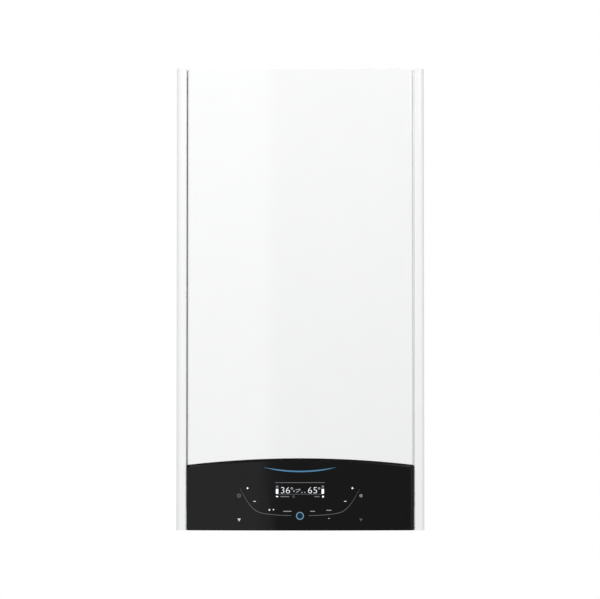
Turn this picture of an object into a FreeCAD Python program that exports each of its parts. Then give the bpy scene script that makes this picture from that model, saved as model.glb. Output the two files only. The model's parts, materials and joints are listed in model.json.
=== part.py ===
import FreeCAD, Part
import math
import os
import re

import Sketcher

# Wall-hung condensing boiler, in millimetres.
# Seen from the front, +X is to the right, +Y goes into the wall and +Z is up.
# The origin is the middle of the two wall slots of the hanging bracket, on the wall.
# Places in this file are given as x, depth in front of the wall, and height above the
# casing's lower edge. The last step down to the bracket's own height is frame_drop.

SIZES = {
    # Casing as a whole
    "casing_width": 400,
    "casing_height": 745,
    "casing_depth": 319,
    "casing_sheet": 1,
    "hang_drop": 52,
    "seat_gap": 0.3,
    "running_gap": 0.05,
    "moving_gap": 0.8,
    "cut_overrun": 2,
    # Side panels with their front pilasters
    "pilaster_width": 16.5,
    "pilaster_setback": 8,
    "pilaster_corner": 9,
    "pilaster_lip_corner": 3,
    "pilaster_return": 38,
    "rear_flange": 14,
    # Front casing, fascia line and hanging tabs
    "panel_gap": 1.75,
    "front_bow": 6,
    "front_corner": 5,
    "front_edge_round": 2,
    "front_return": 30,
    "front_ledge": 13,
    "ledge_notch_half": 13,
    "ledge_notch_pitch": 90,
    "top_return": 44,
    "fascia_height": 116,
    "fascia_arch": 11,
    "fascia_gap": 4.6,
    "tab_reach": 12,
    "tab_height": 22,
    "hook_inset": 42,
    "upper_hook_drop": 45,
    "lower_hook_rise": 16,
    "hook_neck_radius": 2.5,
    "hook_head_radius": 5,
    "hook_head_length": 2.4,
    "hook_tail": 2,
    "insulation_thickness": 10,
    "insulation_side": 11.75,
    "insulation_margin": 9,
    # Hanging bracket and rear frame
    "bracket_half": 150,
    "bracket_height": 40,
    "bracket_sheet": 2,
    "bracket_ledge": 9,
    "bracket_lip_height": 20,
    "slot_spacing": 220,
    "slot_radius": 4.5,
    "slot_length": 20,
    "chassis_sheet": 1.2,
    "frame_standoff": 12,
    "frame_foot": 20,
    "hook_rail_half": 140,
    "hook_rail_sheet": 1.5,
    "hook_rail_drop": 18,
    "hook_rail_depth": 3.8,
    "frame_window_half": 95,
    "frame_window_low": 130,
    "frame_window_high": 300,
    "arm_height": 40,
    "arm_inset": 12,
    "lower_arm_height": 262,
    "upper_arm_height": 640,
    # Top panel
    "top_recess": 7,
    "top_flange": 12,
    "flue_depth": 150,
    "air_opening_radius": 50,
    "adapter_hole_offset": 54,
    "adapter_hole_radius": 2.1,
    "spare_inlet_offset": 115,
    "spare_inlet_radius": 41,
    "cap_overlap": 6,
    "cap_sheet": 1.5,
    "cap_plug": 8,
    "frame_screw_margin": 15,
    "frame_screw_rear": 30,
    "frame_screw_inset": 10,
    "screw_radius": 2,
    "screw_head_radius": 4.5,
    "screw_head_height": 2.5,
    "screw_length": 9,
    "screw_play": 0.2,
    # Combustion chamber box and its cover
    "chamber_half": 170,
    "chamber_rear": 95,
    "front_space": 57,
    "chamber_rise": 6,
    "chamber_headroom": 12,
    "chamber_flange": 8,
    "panel_seam": 0.1,
    "collar_wall": 1.5,
    "cover_margin": 10,
    "cover_drop": 9,
    "cover_sheet": 1,
    "cover_return": 1.7,
    "cover_hook_reach": 12,
    "cover_lip": 3,
    "seal_thickness": 1.4,
    "seal_width": 7,
    # Cover clips
    "clip_offset": 110,
    "clip_half": 12,
    "clip_sheet": 2,
    "clip_height": 27,
    "clip_handle": 7,
    "clip_drop": 5,
    "clip_hub_radius": 4,
    "clip_pin_radius": 2.5,
    "ear_sheet": 1.5,
    "ear_height": 10,
    "ear_reach": 10,
    # Heat cell
    "fan_headroom": 1,
    "cell_radius": 110,
    "cell_wall": 2,
    "cell_depth": 108.7,
    "cell_flange_radius": 120,
    "cell_flange": 3,
    "neck_radius": 37,
    "neck_reach": 140,
    "drain_offset": 45,
    "drain_depth": 118,
    "drain_radius": 9,
    "drain_reach": 115,
    "stud_circle_radius": 114.5,
    "stud_radius": 2.5,
    "stud_length": 12,
    "nut_radius": 5,
    "nut_height": 4.5,
    "ring_radius": 72,
    "ring_tube_radius": 8,
    "ring_pitch": 17,
    "ring_inset": 15.7,
    "header_radius": 9,
    "header_offset": 86,
    "riser_offset": 150,
    "riser_radius": 8,
    "riser_bend": 14,
    "stub_reach": 22,
    "door_thickness": 5.7,
    "burner_radius": 32,
    "burner_wall": 1.5,
    "burner_inset": 21.7,
    "burner_flange_radius": 40,
    "burner_flange": 1.6,
    "manifold_radius": 42,
    "manifold_half": 20,
    "manifold_wall": 3,
    "manifold_depth": 27.1,
    "manifold_rise": 68,
    "electrode_offset": 40,
    "electrode_plate_half": 9,
    "electrode_plate": 3,
    "electrode_spread": 4,
    "electrode_radius": 1.6,
    "ceramic_radius": 3,
    "electrode_length": 45,
    "ceramic_reach": 17,
    "transformer_width": 25.7,
    "transformer_rear": 180,
    "transformer_front": 225,
    "transformer_rise": 70,
    "transformer_height": 60,
    "lead_radius": 2.5,
    "lead_bend": 11,
    # Fan, mixer, silencer and flue
    "fan_setback": 60,
    "fan_rise": 12,
    "scroll_radius": 59,
    "scroll_half": 22,
    "scroll_wall": 2.5,
    "eye_radius": 26,
    "fan_wheel_radius": 50,
    "fan_wheel_half": 14,
    "fan_disc": 2,
    "blade_thickness": 1.5,
    "blade_height": 14,
    "fan_hub_radius": 9,
    "fan_shaft_radius": 4,
    "fan_shaft_length": 18,
    "shaft_play": 0.1,
    "fan_motor_radius": 38,
    "fan_motor_length": 44,
    "mixer_radius": 28,
    "mixer_length": 57,
    "mixer_wall": 3,
    "silencer_reach": 84,
    "silencer_back": 20,
    "silencer_fore": 36,
    "silencer_drop": 48,
    "silencer_rise": 40,
    "snorkel_width": 38,
    "snorkel_rise": 80,
    "silencer_wall": 2.5,
    "silencer_round": 8,
    "duct_bore": 28,
    "duct_wall": 5,
    "duct_overlap": 18,
    "socket_drop": 25,
    "socket_radius": 37,
    "socket_bore": 30.25,
    "socket_step": 8,
    # Water and gas connections below
    "plate_height": 34,
    "plate_sheet": 1.5,
    "plate_front": 198,
    "plate_flange": 16,
    "connection_pitch": 67,
    "connection_depth": 110,
    "connection_end": 6,
    "large_thread_radius": 13.2,
    "large_bore_radius": 9.5,
    "small_thread_radius": 10.45,
    "small_bore_radius": 7,
    "connection_bore_depth": 14,
    "connection_collar": 3,
    "connection_play": 1.5,
    "block_rise": 10,
    "block_height": 40,
    "block_rear": 92,
    "block_front": 128,
    "block_inner": 40,
    "tower_inner": 112,
    "tower_outer": 162,
    "tower_rear": 92,
    "tower_front": 160,
    "tower_high": 104,
    "casting_round": 5,
    "exchanger_half": 85,
    "exchanger_rear": 30,
    "exchanger_front": 82,
    "exchanger_rise": 16,
    "exchanger_height": 70,
    "exchanger_round": 8,
    "exchanger_boss": 20,
    "pump_offset": 98,
    "pump_rise": 24,
    "pump_radius": 42,
    "pump_rear": 96,
    "pump_front": 140,
    "pump_bore": 30,
    "pump_floor": 4,
    "pump_wheel_radius": 27,
    "pump_wheel_width": 12,
    "pump_blade": 2,
    "pump_shaft_radius": 4,
    "pump_shaft_length": 38,
    "pump_motor_radius": 38,
    "pump_motor_length": 62,
    "port_half": 13,
    "port_low": 150,
    "port_high": 176,
    "vent_radius": 11,
    "vent_height": 32,
    "vent_cap_radius": 7,
    "vent_cap_height": 8,
    "diverter_length": 35,
    "diverter_low": 55,
    "diverter_high": 100,
    "diverter_inset": 5,
    "relief_offset": 90,
    "relief_height": 64,
    "relief_radius": 12,
    "relief_length": 22,
    "relief_knob_radius": 14,
    "relief_knob_length": 18,
    "knob_stem_radius": 3,
    "knob_stem_length": 12,
    "knob_rib": 2,
    "filling_offset": 100,
    "filling_depth": 118,
    "filling_stub_radius": 8,
    "filling_stub_low": 30,
    "filling_knob_radius": 13,
    "filling_knob_length": 19,
    "trap_offset": 36,
    "trap_clearance": 15,
    "trap_radius": 22,
    "trap_high": 165,
    "trap_outlet_radius": 10.5,
    "trap_outlet_end": 5,
    "trap_rib": 2,
    "hose_radius": 8,
    "hose_bend": 40,
    "gas_pipe_radius": 7.5,
    "gas_feed_radius": 6,
    "gas_feed_offset": 52,
    "gas_bend": 16,
    "valve_left": 50,
    "valve_right": 14,
    "valve_rear": 85,
    "valve_front": 150,
    "valve_low": 125,
    "valve_high": 190,
    "valve_outlet_offset": 30,
    "valve_outlet_depth": 118,
    "valve_coil_radius": 15,
    "valve_coil_length": 26,
    "vessel_radius": 150,
    "vessel_height": 480,
    "vessel_round": 30,
    "vessel_seam": 3,
    "vessel_wall": 1.5,
    "vessel_port_offset": 60,
    "vessel_port_depth": 55,
    "vessel_port_reach": 155,
    "vessel_port_radius": 7,
    "vessel_hose_radius": 5,
    "vessel_hose_offset": 47,
    "vessel_hose_depth": 100,
    "sensor_height": 300,
    "sensor_length": 10,
    "sensor_half": 11,
    "sensor_depth": 24,
    # Hinged control panel
    "hinge_inset": 10,
    "hinge_height": 14,
    "hinge_pin_radius": 3,
    "hinge_arm_margin": 32,
    "hinge_arm_sheet": 2,
    "hinge_arm_round": 9,
    "hinge_arm_rear": 140,
    "hinge_arm_drop": 14,
    "hinge_pin_tail": 1.5,
    "fascia_wall": 2.5,
    "fascia_return": 12,
    "pane_thickness": 2,
    "bond_gap": 0.1,
    "window_half": 68,
    "window_low": 13,
    "boss_radius": 4,
    "boss_offset": 120,
    "boss_low": 24,
    "boss_drop": 34,
    "box_margin": 6,
    "box_wall": 2,
    "box_low": 5,
    "box_reach": 94,
    "box_rear_high": 30,
    "box_top_reach": 38,
    "box_drop": 26,
    "box_setback": 19,
    "box_cover": 2,
    "board_sheet": 1.6,
    "board_post_radius": 3,
    "display_board_half": 66,
    "display_board_low": 18,
    "display_board_drop": 18,
    "display_standoff": 2,
    "display_half": 28,
    "display_low": 42,
    "display_drop": 30,
    "display_setback": 4,
    "display_frame": 3,
    "main_board_half": 140,
    "board_rear_margin": 8,
    "board_front_margin": 14,
    "main_board_height": 12,
    "capacitor_radius": 9,
    "capacitor_height": 22,
    "relay_half": 8,
    "relay_height": 15,
    "guide_setback": 3.5,
    "guide_wall": 2,
    "guide_ring_radius": 7.5,
    "guide_ring_height": 22.5,
    "guide_arc_half": 57,
    "guide_arc_drop": 13.5,
    "guide_arc_sag": 8.5,
    "gland_radius": 7,
    "gland_reach": 6,
    "gland_bore": 3,
    "gland_spacing": 60,
    "gland_height": 18,
}

# Places that follow from the sizes above, worked out in the same sheet
PLACES = {
    "frame_drop": "casing_height - hang_drop",
    "casing_half": "casing_width / 2",
    "chassis_half": "casing_half - casing_sheet - seat_gap",
    "pilaster_front": "casing_depth - pilaster_setback",
    "pilaster_inner": "casing_half - pilaster_width",
    "pilaster_rear": "pilaster_front - pilaster_return",
    "front_half": "pilaster_inner - panel_gap",
    "bow_edge": "casing_depth - front_bow",
    "front_rear": "bow_edge - front_return",
    "fascia_side": "fascia_height - fascia_arch",
    "fascia_top": "fascia_height - fascia_gap",
    "top_panel_height": "casing_height - top_recess - casing_sheet",
    "frame_top": "top_panel_height - seat_gap",
    "frame_front": "frame_standoff + chassis_sheet",
    "on_frame": "frame_front + seat_gap",
    "bracket_low": "frame_drop - bracket_height / 2",
    "bracket_high": "frame_drop + bracket_height / 2",
    "lip_top": "bracket_high + bracket_lip_height",
    "chamber_front": "casing_depth - front_space",
    "cover_front": "chamber_front + seat_gap + cover_return + cover_sheet",
    "cover_lip_front": "cover_front + cover_lip",
    "clip_rear": "cover_lip_front + seat_gap",
    "clip_pivot_depth": "clip_rear",
    "cell_rear": "chamber_rear + casing_sheet + seat_gap",
    "cell_front": "cell_rear + cell_depth",
    "door_front": "cell_front + seat_gap + door_thickness",
    "burner_face": "door_front + burner_flange",
    "manifold_rear": "burner_face + seat_gap",
    "block_low": "plate_height + block_rise",
    "block_high": "block_low + block_height",
    "pump_height": "block_high + pump_rise + pump_radius",
    "chamber_low": "pump_height + pump_radius + vent_height + vent_cap_height + chamber_rise",
    "fan_height": "chamber_low + casing_sheet + fan_rise + scroll_radius",
    "cell_height": "fan_height + scroll_radius + fan_headroom + cell_flange_radius",
    "electrode_height": "cell_height + electrode_offset",
    "on_plate": "plate_height + plate_sheet + seat_gap",
    "chamber_wall": "chamber_half - casing_sheet",
    "mixer_left": "-scroll_half - seat_gap - mixer_length",
    "silencer_right": "mixer_left - seat_gap",
    "silencer_left": "silencer_right - silencer_reach",
    "fan_motor_left": "scroll_half + seat_gap",
    "pump_motor_rear": "pump_front + seat_gap",
    "pane_back": "casing_depth - pane_thickness",
    "fascia_skin": "pane_back - bond_gap",
    "box_front": "casing_depth - box_setback",
    "display_board_rear": "box_front + display_standoff",
    "knob_depth": "block_front + relief_length + 2 * seat_gap",
    "hook_depth": "casing_depth - hook_inset",
    "upper_hook_height": "casing_height - upper_hook_drop",
    "arm_front": "chamber_front - arm_inset",
    "top_front": "chamber_front",
    "frame_screw_front": "arm_front - frame_screw_inset",
    "chamber_high": "top_panel_height - chamber_headroom",
    "cover_half": "chamber_half + cover_margin",
    "cover_low": "chamber_low - cover_drop",
    "clip_pivot_height": "cover_low - clip_drop",
    "neck_high": "cell_height + neck_reach",
    "drain_low": "cell_height - drain_reach",
    "ring_first_depth": "cell_rear + ring_inset",
    "riser_depth": "ring_first_depth + 2 * ring_pitch",
    "burner_rear": "cell_rear + burner_inset",
    "manifold_front": "manifold_rear + manifold_depth",
    "manifold_low": "fan_height + manifold_rise",
    "electrode_tip": "cell_front - electrode_length",
    "ceramic_front": "door_front + ceramic_reach",
    "transformer_low": "cell_height + transformer_rise",
    "fan_depth": "manifold_front - fan_setback",
    "scroll_duct_rear": "manifold_rear",
    "silencer_rear": "fan_depth - silencer_back",
    "silencer_front": "fan_depth + silencer_fore",
    "silencer_low": "fan_height - silencer_drop",
    "silencer_high": "fan_height + silencer_rise",
    "snorkel_high": "silencer_high + snorkel_rise",
    "duct_low": "neck_high - duct_overlap",
    "socket_low": "chamber_high - socket_drop",
    "trap_depth": "block_front + trap_radius + trap_clearance",
    "vessel_front": "chamber_rear - seat_gap",
    "vessel_port_low": "vessel_height - vessel_port_reach",
    "hinge_depth": "box_front - hinge_inset",
    "box_rear": "box_front - box_reach",
    "box_top_rear": "box_front - box_top_reach",
    "display_front": "casing_depth - display_setback",
    "guide_front": "casing_depth - guide_setback",
    "main_board_rear": "box_rear + board_rear_margin",
    "main_board_front": "box_front - board_front_margin",
    "exchanger_low": "plate_height + exchanger_rise",
    "exchanger_high": "exchanger_low + exchanger_height",
    "lower_hook_height": "fascia_height + lower_hook_rise",
    "display_high": "fascia_height - display_drop",
    "display_board_high": "fascia_height - display_board_drop",
    "window_high": "fascia_side",
    "boss_high": "fascia_height - boss_drop",
    "box_high": "fascia_height - box_drop",
    "guide_arc_height": "fascia_height - guide_arc_drop",
    "frame_screw_offset": "casing_half - frame_screw_margin",
    "hinge_arm_offset": "casing_half - hinge_arm_margin",
    "box_half": "hinge_arm_offset - box_margin",
    "insulation_half": "front_half - insulation_side",
}

# An arc's middle point, as a share of a square corner's radius in from the corner.
ARC_MIDDLE_SHARE = 1 - math.sqrt(0.5)
# The most of a straight run that the bend at its end may take.
RUN_SHARE = 0.45
# Two places closer than this many millimetres are one.
SAME_PLACE = 1e-6
# A cut that takes less than this many cubic millimetres has missed.
SMALL_VOLUME = 1e-3

STUDS = 6
RINGS = 5
FAN_BLADES = 12
PUMP_VANES = 7
PLATE_GROOVES = 7
KNOB_RIBS = 8

doc = FreeCAD.newDocument("condensing_boiler")
sheet = doc.addObject("Spreadsheet::Sheet", "sizes")
sheet.Label = "sizes"
parts = []


def fill_sheet():
    """Write each driving size and each place that follows from them."""
    rows = [(name, str(size)) for name, size in SIZES.items()]
    rows += [(name, f"={formula}") for name, formula in PLACES.items()]
    for row, (name, content) in enumerate(rows, start=1):
        sheet.set(f"A{row}", name)
        sheet.set(f"B{row}", content)
        sheet.setAlias(f"B{row}", name)
    doc.recompute()


def ex(text):
    """Point every size named in the text at its cell."""
    def cell(match):
        word = match[0]
        return f"sizes.{word}" if word in SIZES or word in PLACES else word

    return re.sub(r"[a-z][a-z_]*", cell, str(text))


def number(text):
    return float(sheet.evalExpression(ex(text)))


def flip(text):
    return f"-({text})"


def mirrored(low, high, side):
    """The same span on the other side of the middle plane."""
    return (low, high) if side > 0 else (flip(high), flip(low))


def new_body(label, x="0", depth="0", height="0"):
    body = doc.addObject("PartDesign::Body", label)
    body.Label = label
    body.setExpression("Placement.Base.x", ex(x))
    body.setExpression("Placement.Base.y", ex(flip(depth)))
    body.setExpression("Placement.Base.z", ex(f"{height} - frame_drop"))
    parts.append(body)
    return body


PLANES = {"plan": "XY_Plane", "front": "XZ_Plane", "side": "YZ_Plane"}


def drawing(body, plane, level, loops, side):
    """A fully constrained sketch. A loop is ("circle", x, y, radius) or a list of corners.

    A corner (x, y, middle x, middle y) starts an arc through that middle point.
    On the plan and side planes the depth is given, and the sketch runs along -Y.
    """
    result = body.newObject("Sketcher::SketchObject", f"{body.Name}_sketch")
    plane_object = next(o for o in body.Origin.OriginFeatures if o.Role == PLANES[plane])
    result.AttachmentSupport = [(plane_object, "")]
    result.MapMode = "FlatFace"
    result.setExpression("AttachmentOffset.Base.z", ex(level))

    def placed(first, second):
        if plane == "side":
            return flip(first), second
        across = first if side > 0 else flip(first)
        return across, flip(second) if plane == "plan" else second

    def vector(pair):
        return FreeCAD.Vector(number(pair[0]), number(pair[1]), 0)

    def pin_point(geometry, point, pair):
        for kind, text in zip(("DistanceX", "DistanceY"), pair):
            rule = Sketcher.Constraint(kind, -1, 1, geometry, point, number(text))
            index = result.addConstraint(rule)
            result.setExpression(f"Constraints[{index}]", ex(text))

    for loop in loops:
        if loop[0] == "circle":
            centre = placed(loop[1], loop[2])
            radius = number(loop[3])
            circle = Part.Circle(vector(centre), FreeCAD.Vector(0, 0, 1), radius)
            index = result.addGeometry(circle)
            pin_point(index, 3, centre)
            rule = result.addConstraint(Sketcher.Constraint("Radius", index, radius))
            result.setExpression(f"Constraints[{rule}]", ex(loop[3]))
            continue
        edges = []
        for here, after in zip(loop, loop[1:] + loop[:1]):
            start, end = placed(*here[:2]), placed(*after[:2])
            if len(here) == 2:
                index = result.addGeometry(Part.LineSegment(vector(start), vector(end)))
                edges.append((index, 1, 2, start))
                continue
            middle = placed(*here[2:])
            arc = Part.Arc(vector(start), vector(middle), vector(end))
            index = result.addGeometry(arc)
            starts_here = result.getPoint(index, 1).distanceToPoint(vector(start)) < SAME_PLACE
            first, last = (1, 2) if starts_here else (2, 1)
            edges.append((index, first, last, start))
            helper = result.addGeometry(Part.Point(vector(middle)), True)
            pin_point(helper, 1, middle)
            result.addConstraint(Sketcher.Constraint("PointOnObject", helper, 1, index))
        for (index, first, last, start), following in zip(edges, edges[1:] + edges[:1]):
            joined = Sketcher.Constraint("Coincident", index, last, following[0], following[1])
            result.addConstraint(joined)
            pin_point(index, first, start)
    return result


def slab(body, plane, low, high, *loops, cut=False, side=1):
    """Pad, or cut, the loops from one level of the plane to a higher one."""
    if plane == "side":
        low, high = mirrored(low, high, side)
    kind = "Pocket" if cut else "Pad"
    feature = body.newObject(f"PartDesign::{kind}", f"{body.Name}_{kind.lower()}")
    feature.Profile = drawing(body, plane, low, loops, side)
    feature.setExpression("Length", ex(f"({high}) - ({low})"))
    feature.Reversed = cut
    feature.Visibility = False
    body.Tip = feature
    return feature


def primitive(body, shape, cut, **sizes):
    kind = "Subtractive" if cut else "Additive"
    feature = body.newObject(f"PartDesign::{kind}{shape}", f"{body.Name}_{shape.lower()}")
    for name, text in sizes.items():
        feature.setExpression(name, ex(text))
    return feature


def place(feature, x, y, z):
    for letter, text in zip("xyz", (x, y, z)):
        feature.setExpression(f"Placement.Base.{letter}", ex(text))


def box(body, across, depths, heights, cut=False, side=1):
    """A block between two places each way."""
    left, right = mirrored(*across, side)
    feature = primitive(
        body,
        "Box",
        cut,
        Length=f"({right}) - ({left})",
        Width=f"({depths[1]}) - ({depths[0]})",
        Height=f"({heights[1]}) - ({heights[0]})",
    )
    place(feature, left, flip(depths[1]), heights[0])
    return feature


TURNS = {
    "x": FreeCAD.Rotation(FreeCAD.Vector(0, 1, 0), 90),
    "depth": FreeCAD.Rotation(FreeCAD.Vector(1, 0, 0), 90),
    "height": FreeCAD.Rotation(),
}


def rod(body, axis, start, end, centre, radius, cut=False, side=1, tip_radius=None):
    """A round bar along an axis. The centre is the other two places, in x, depth, height order."""
    if axis == "x":
        start, end = mirrored(start, end, side)
        spot = (start, *centre)
    else:
        across = centre[0] if side > 0 else flip(centre[0])
        spot = (across, start, centre[1]) if axis == "depth" else (across, centre[1], start)
    length = f"({end}) - ({start})"
    if tip_radius is None:
        feature = primitive(body, "Cylinder", cut, Radius=radius, Height=length)
    else:
        feature = primitive(body, "Cone", cut, Radius1=radius, Radius2=tip_radius, Height=length)
    feature.Placement = FreeCAD.Placement(FreeCAD.Vector(), TURNS[axis])
    place(feature, spot[0], flip(spot[1]), spot[2])
    return feature


def hole(body, axis, start, end, centre, radius, side=1):
    """A round hole that runs past both ends."""
    span = (f"{start} - cut_overrun", f"{end} + cut_overrun")
    return rod(body, axis, *span, centre, radius, cut=True, side=side)


def round_edges(body, radius, wanted):
    """Round those edges of the body so far that the test picks."""
    doc.recompute()
    base = body.Tip
    names = [f"Edge{n}" for n, edge in enumerate(base.Shape.Edges, start=1) if wanted(edge)]
    feature = body.newObject("PartDesign::Fillet", f"{body.Name}_fillet")
    feature.Base = (base, names)
    feature.setExpression("Radius", ex(radius))
    body.Tip = feature
    return feature


def upright(edge):
    """True of a straight edge that stands along +Z."""
    span = edge.BoundBox
    return span.ZLength > 0 and max(span.XLength, span.YLength) < SAME_PLACE


def rounded_corner(x, y, toward_x, toward_y, radius):
    """The first two places of an outline's rounded corner: the arc's start and its end.

    The outline comes in along y and leaves along x. toward_x and toward_y are +1 or -1.
    """
    share = str(ARC_MIDDLE_SHARE)
    start = (x, f"{y} + {toward_y} * ({radius})")
    middle = (f"{x} + {toward_x * ARC_MIDDLE_SHARE} * ({radius})",)
    middle += (f"{y} + {toward_y} * {share} * ({radius})",)
    return start + middle, (f"{x} + {toward_x} * ({radius})", y)


def tube(label, points, radius, bend):
    """A round tube along straight runs joined by tangent arcs."""
    wire = Part.Wire(route_edges(points, number(bend)))
    start = wire.Edges[0].Vertexes[0].Point
    tangent = wire.Edges[0].tangentAt(wire.Edges[0].FirstParameter)
    section = Part.Wire(Part.Circle(start, tangent, number(radius)).toShape())
    feature = doc.addObject("Part::Feature", label)
    feature.Label = label
    feature.Shape = wire.makePipeShell([section], True, False)
    drop = FreeCAD.Vector(0, 0, -number("frame_drop"))
    feature.Placement = FreeCAD.Placement(drop, FreeCAD.Rotation())
    parts.append(feature)
    expected = wire.Length * math.pi * number(radius) ** 2
    if abs(feature.Shape.Volume - expected) > expected / 100:
        raise RuntimeError(f"{label}: the tube's volume is not its section times its length")
    return feature


def route_edges(points, bend):
    """Lines and arcs along the points, the arcs no larger than the runs beside them allow."""
    spots = [FreeCAD.Vector(number(x), -number(d), number(z)) for x, d, z in points]
    edges = []
    here = spots[0]
    for before, corner, after in zip(spots, spots[1:], spots[2:]):
        into = (corner - before).normalize()
        out = (after - corner).normalize()
        turn = into.getAngle(out)
        shorter = min((corner - before).Length, (after - corner).Length)
        tangent = min(bend * math.tan(turn / 2), shorter * RUN_SHARE)
        radius = tangent / math.tan(turn / 2)
        first = corner - into * tangent
        last = corner + out * tangent
        inward = (out - into).normalize()
        middle = corner + inward * (radius / math.cos(turn / 2) - radius)
        edges.append(Part.LineSegment(here, first).toShape())
        edges.append(Part.Arc(first, middle, last).toShape())
        here = last
    edges.append(Part.LineSegment(here, spots[-1]).toShape())
    return edges


def bow_outline(half, edge, front, corner, rear):
    """Plan of the bowed front: two sides, two round corners and the shallow arc between."""
    right_start, right_end = rounded_corner(half, edge, -1, -1, corner)
    left_end, left_start = rounded_corner(flip(half), edge, 1, -1, corner)
    left_corner = (f"{flip(half)} + {corner}", edge, *left_end[2:])
    return [
        (half, rear),
        right_start,
        (*right_end, "0", front),
        left_corner,
        (flip(half), f"{edge} - ({corner})"),
        (flip(half), rear),
    ]


def below_arch(side_height, middle_height, half):
    """Everything below the shallow arch, seen from the front."""
    wide = f"{half} + cut_overrun"
    return [
        (wide, side_height, "0", middle_height),
        (flip(wide), side_height),
        (flip(wide), "-cut_overrun"),
        (wide, "-cut_overrun"),
    ]


def above_arch(side_height, middle_height, half, high):
    wide = f"{half} + cut_overrun"
    return [
        (wide, side_height, "0", middle_height),
        (flip(wide), side_height),
        (flip(wide), high),
        (wide, high),
    ]


def make_wall_bracket():
    body = new_body("wall_bracket")
    across = ("-bracket_half", "bracket_half")
    box(body, across, ("0", "bracket_sheet"), ("bracket_low", "bracket_high"))
    ledge_low = "bracket_high - bracket_sheet"
    box(body, across, ("0", "bracket_ledge"), (ledge_low, "bracket_high"))
    lip_rear = "bracket_ledge - bracket_sheet"
    box(body, across, (lip_rear, "bracket_ledge"), (ledge_low, "lip_top"))
    for side in (1, -1):
        middle = f"{side} * slot_spacing / 2"
        reach = "(slot_length / 2 - slot_radius)"
        left, right = f"{middle} - {reach}", f"{middle} + {reach}"
        low, high = "frame_drop - slot_radius", "frame_drop + slot_radius"
        slot = [
            (left, low),
            (right, low, f"{right} + slot_radius", "frame_drop"),
            (right, high),
            (left, high, f"{left} - slot_radius", "frame_drop"),
        ]
        slab(body, "front", "-cut_overrun", "bracket_sheet + cut_overrun", slot, cut=True)


def make_back_frame():
    body = new_body("back_frame")
    across = ("-chassis_half", "chassis_half")
    heights = ("frame_foot", "frame_top")
    box(body, across, ("frame_standoff", "frame_front"), heights)
    for side in (1, -1):
        flange = ("chassis_half - chassis_sheet", "chassis_half")
        box(body, flange, ("casing_sheet + seat_gap", "frame_front"), heights, side=side)
        arm = ("chamber_half + seat_gap", "chamber_half + seat_gap + chassis_sheet")
        for low in ("lower_arm_height", "upper_arm_height"):
            span = (low, f"{low} + arm_height")
            box(body, arm, ("frame_standoff", "arm_front"), span, side=side)
    rail = ("-hook_rail_half", "hook_rail_half")
    rail_low = "lip_top + seat_gap"
    rail_high = f"{rail_low} + hook_rail_sheet"
    box(body, rail, ("hook_rail_depth", "frame_front"), (rail_low, rail_high))
    tongue = ("hook_rail_depth", "hook_rail_depth + hook_rail_sheet")
    box(body, rail, tongue, (f"{rail_high} - hook_rail_drop", rail_high))
    window = ("-frame_window_half", "frame_window_half")
    depths = ("frame_standoff - cut_overrun", "frame_front + cut_overrun")
    box(body, window, depths, ("frame_window_low", "frame_window_high"), cut=True)


def make_side_panel(label, side):
    """A folded panel: rear flange, flat side, and the round pilaster with its return."""
    body = new_body(label)
    inside = "casing_half - casing_sheet"
    outer_start, outer_end = rounded_corner(
        "casing_half", "pilaster_front", -1, -1, "pilaster_corner"
    )
    lip_end, lip_start = rounded_corner(
        "pilaster_inner", "pilaster_front", 1, -1, "pilaster_lip_corner"
    )
    outline = [
        ("casing_half", "0"),
        outer_start,
        outer_end,
        (*lip_start, *lip_end[2:]),
        lip_end[:2],
        ("pilaster_inner", "pilaster_rear"),
        (inside, "pilaster_rear"),
        (inside, "casing_sheet"),
        ("casing_half - rear_flange", "casing_sheet"),
        ("casing_half - rear_flange", "0"),
    ]
    slab(body, "plan", "0", "casing_height", outline, side=side)
    hollow_front = "pilaster_front - casing_sheet"
    outer_start, outer_end = rounded_corner(
        inside, hollow_front, -1, -1, "pilaster_corner - casing_sheet"
    )
    lip_end, lip_start = rounded_corner(
        "pilaster_inner + casing_sheet", hollow_front, 1, -1, "pilaster_lip_corner - casing_sheet"
    )
    hollow = [
        (inside, "pilaster_rear - cut_overrun"),
        outer_start,
        outer_end,
        (*lip_start, *lip_end[2:]),
        lip_end[:2],
        ("pilaster_inner + casing_sheet", "pilaster_rear - cut_overrun"),
    ]
    levels = ("casing_sheet", "casing_height - casing_sheet")
    slab(body, "plan", *levels, hollow, cut=True, side=side)
    for height in ("upper_hook_height", "lower_hook_height"):
        wall = ("pilaster_inner", "pilaster_inner + casing_sheet")
        neck = "hook_neck_radius + running_gap"
        hole(body, "x", *wall, ("hook_depth", height), neck, side=side)


def make_casing_hooks():
    """Four headed studs in the pilaster returns, on which the front casing hangs."""
    body = new_body("casing_hooks")
    head_end = "front_half - casing_sheet - seat_gap"
    for side in (1, -1):
        for height in ("upper_hook_height", "lower_hook_height"):
            centre = ("hook_depth", height)
            tail = "pilaster_inner + casing_sheet + hook_tail"
            rod(body, "x", head_end, tail, centre, "hook_neck_radius", side=side)
            head = (f"{head_end} - hook_head_length", head_end)
            rod(body, "x", *head, centre, "hook_head_radius", side=side)


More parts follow.
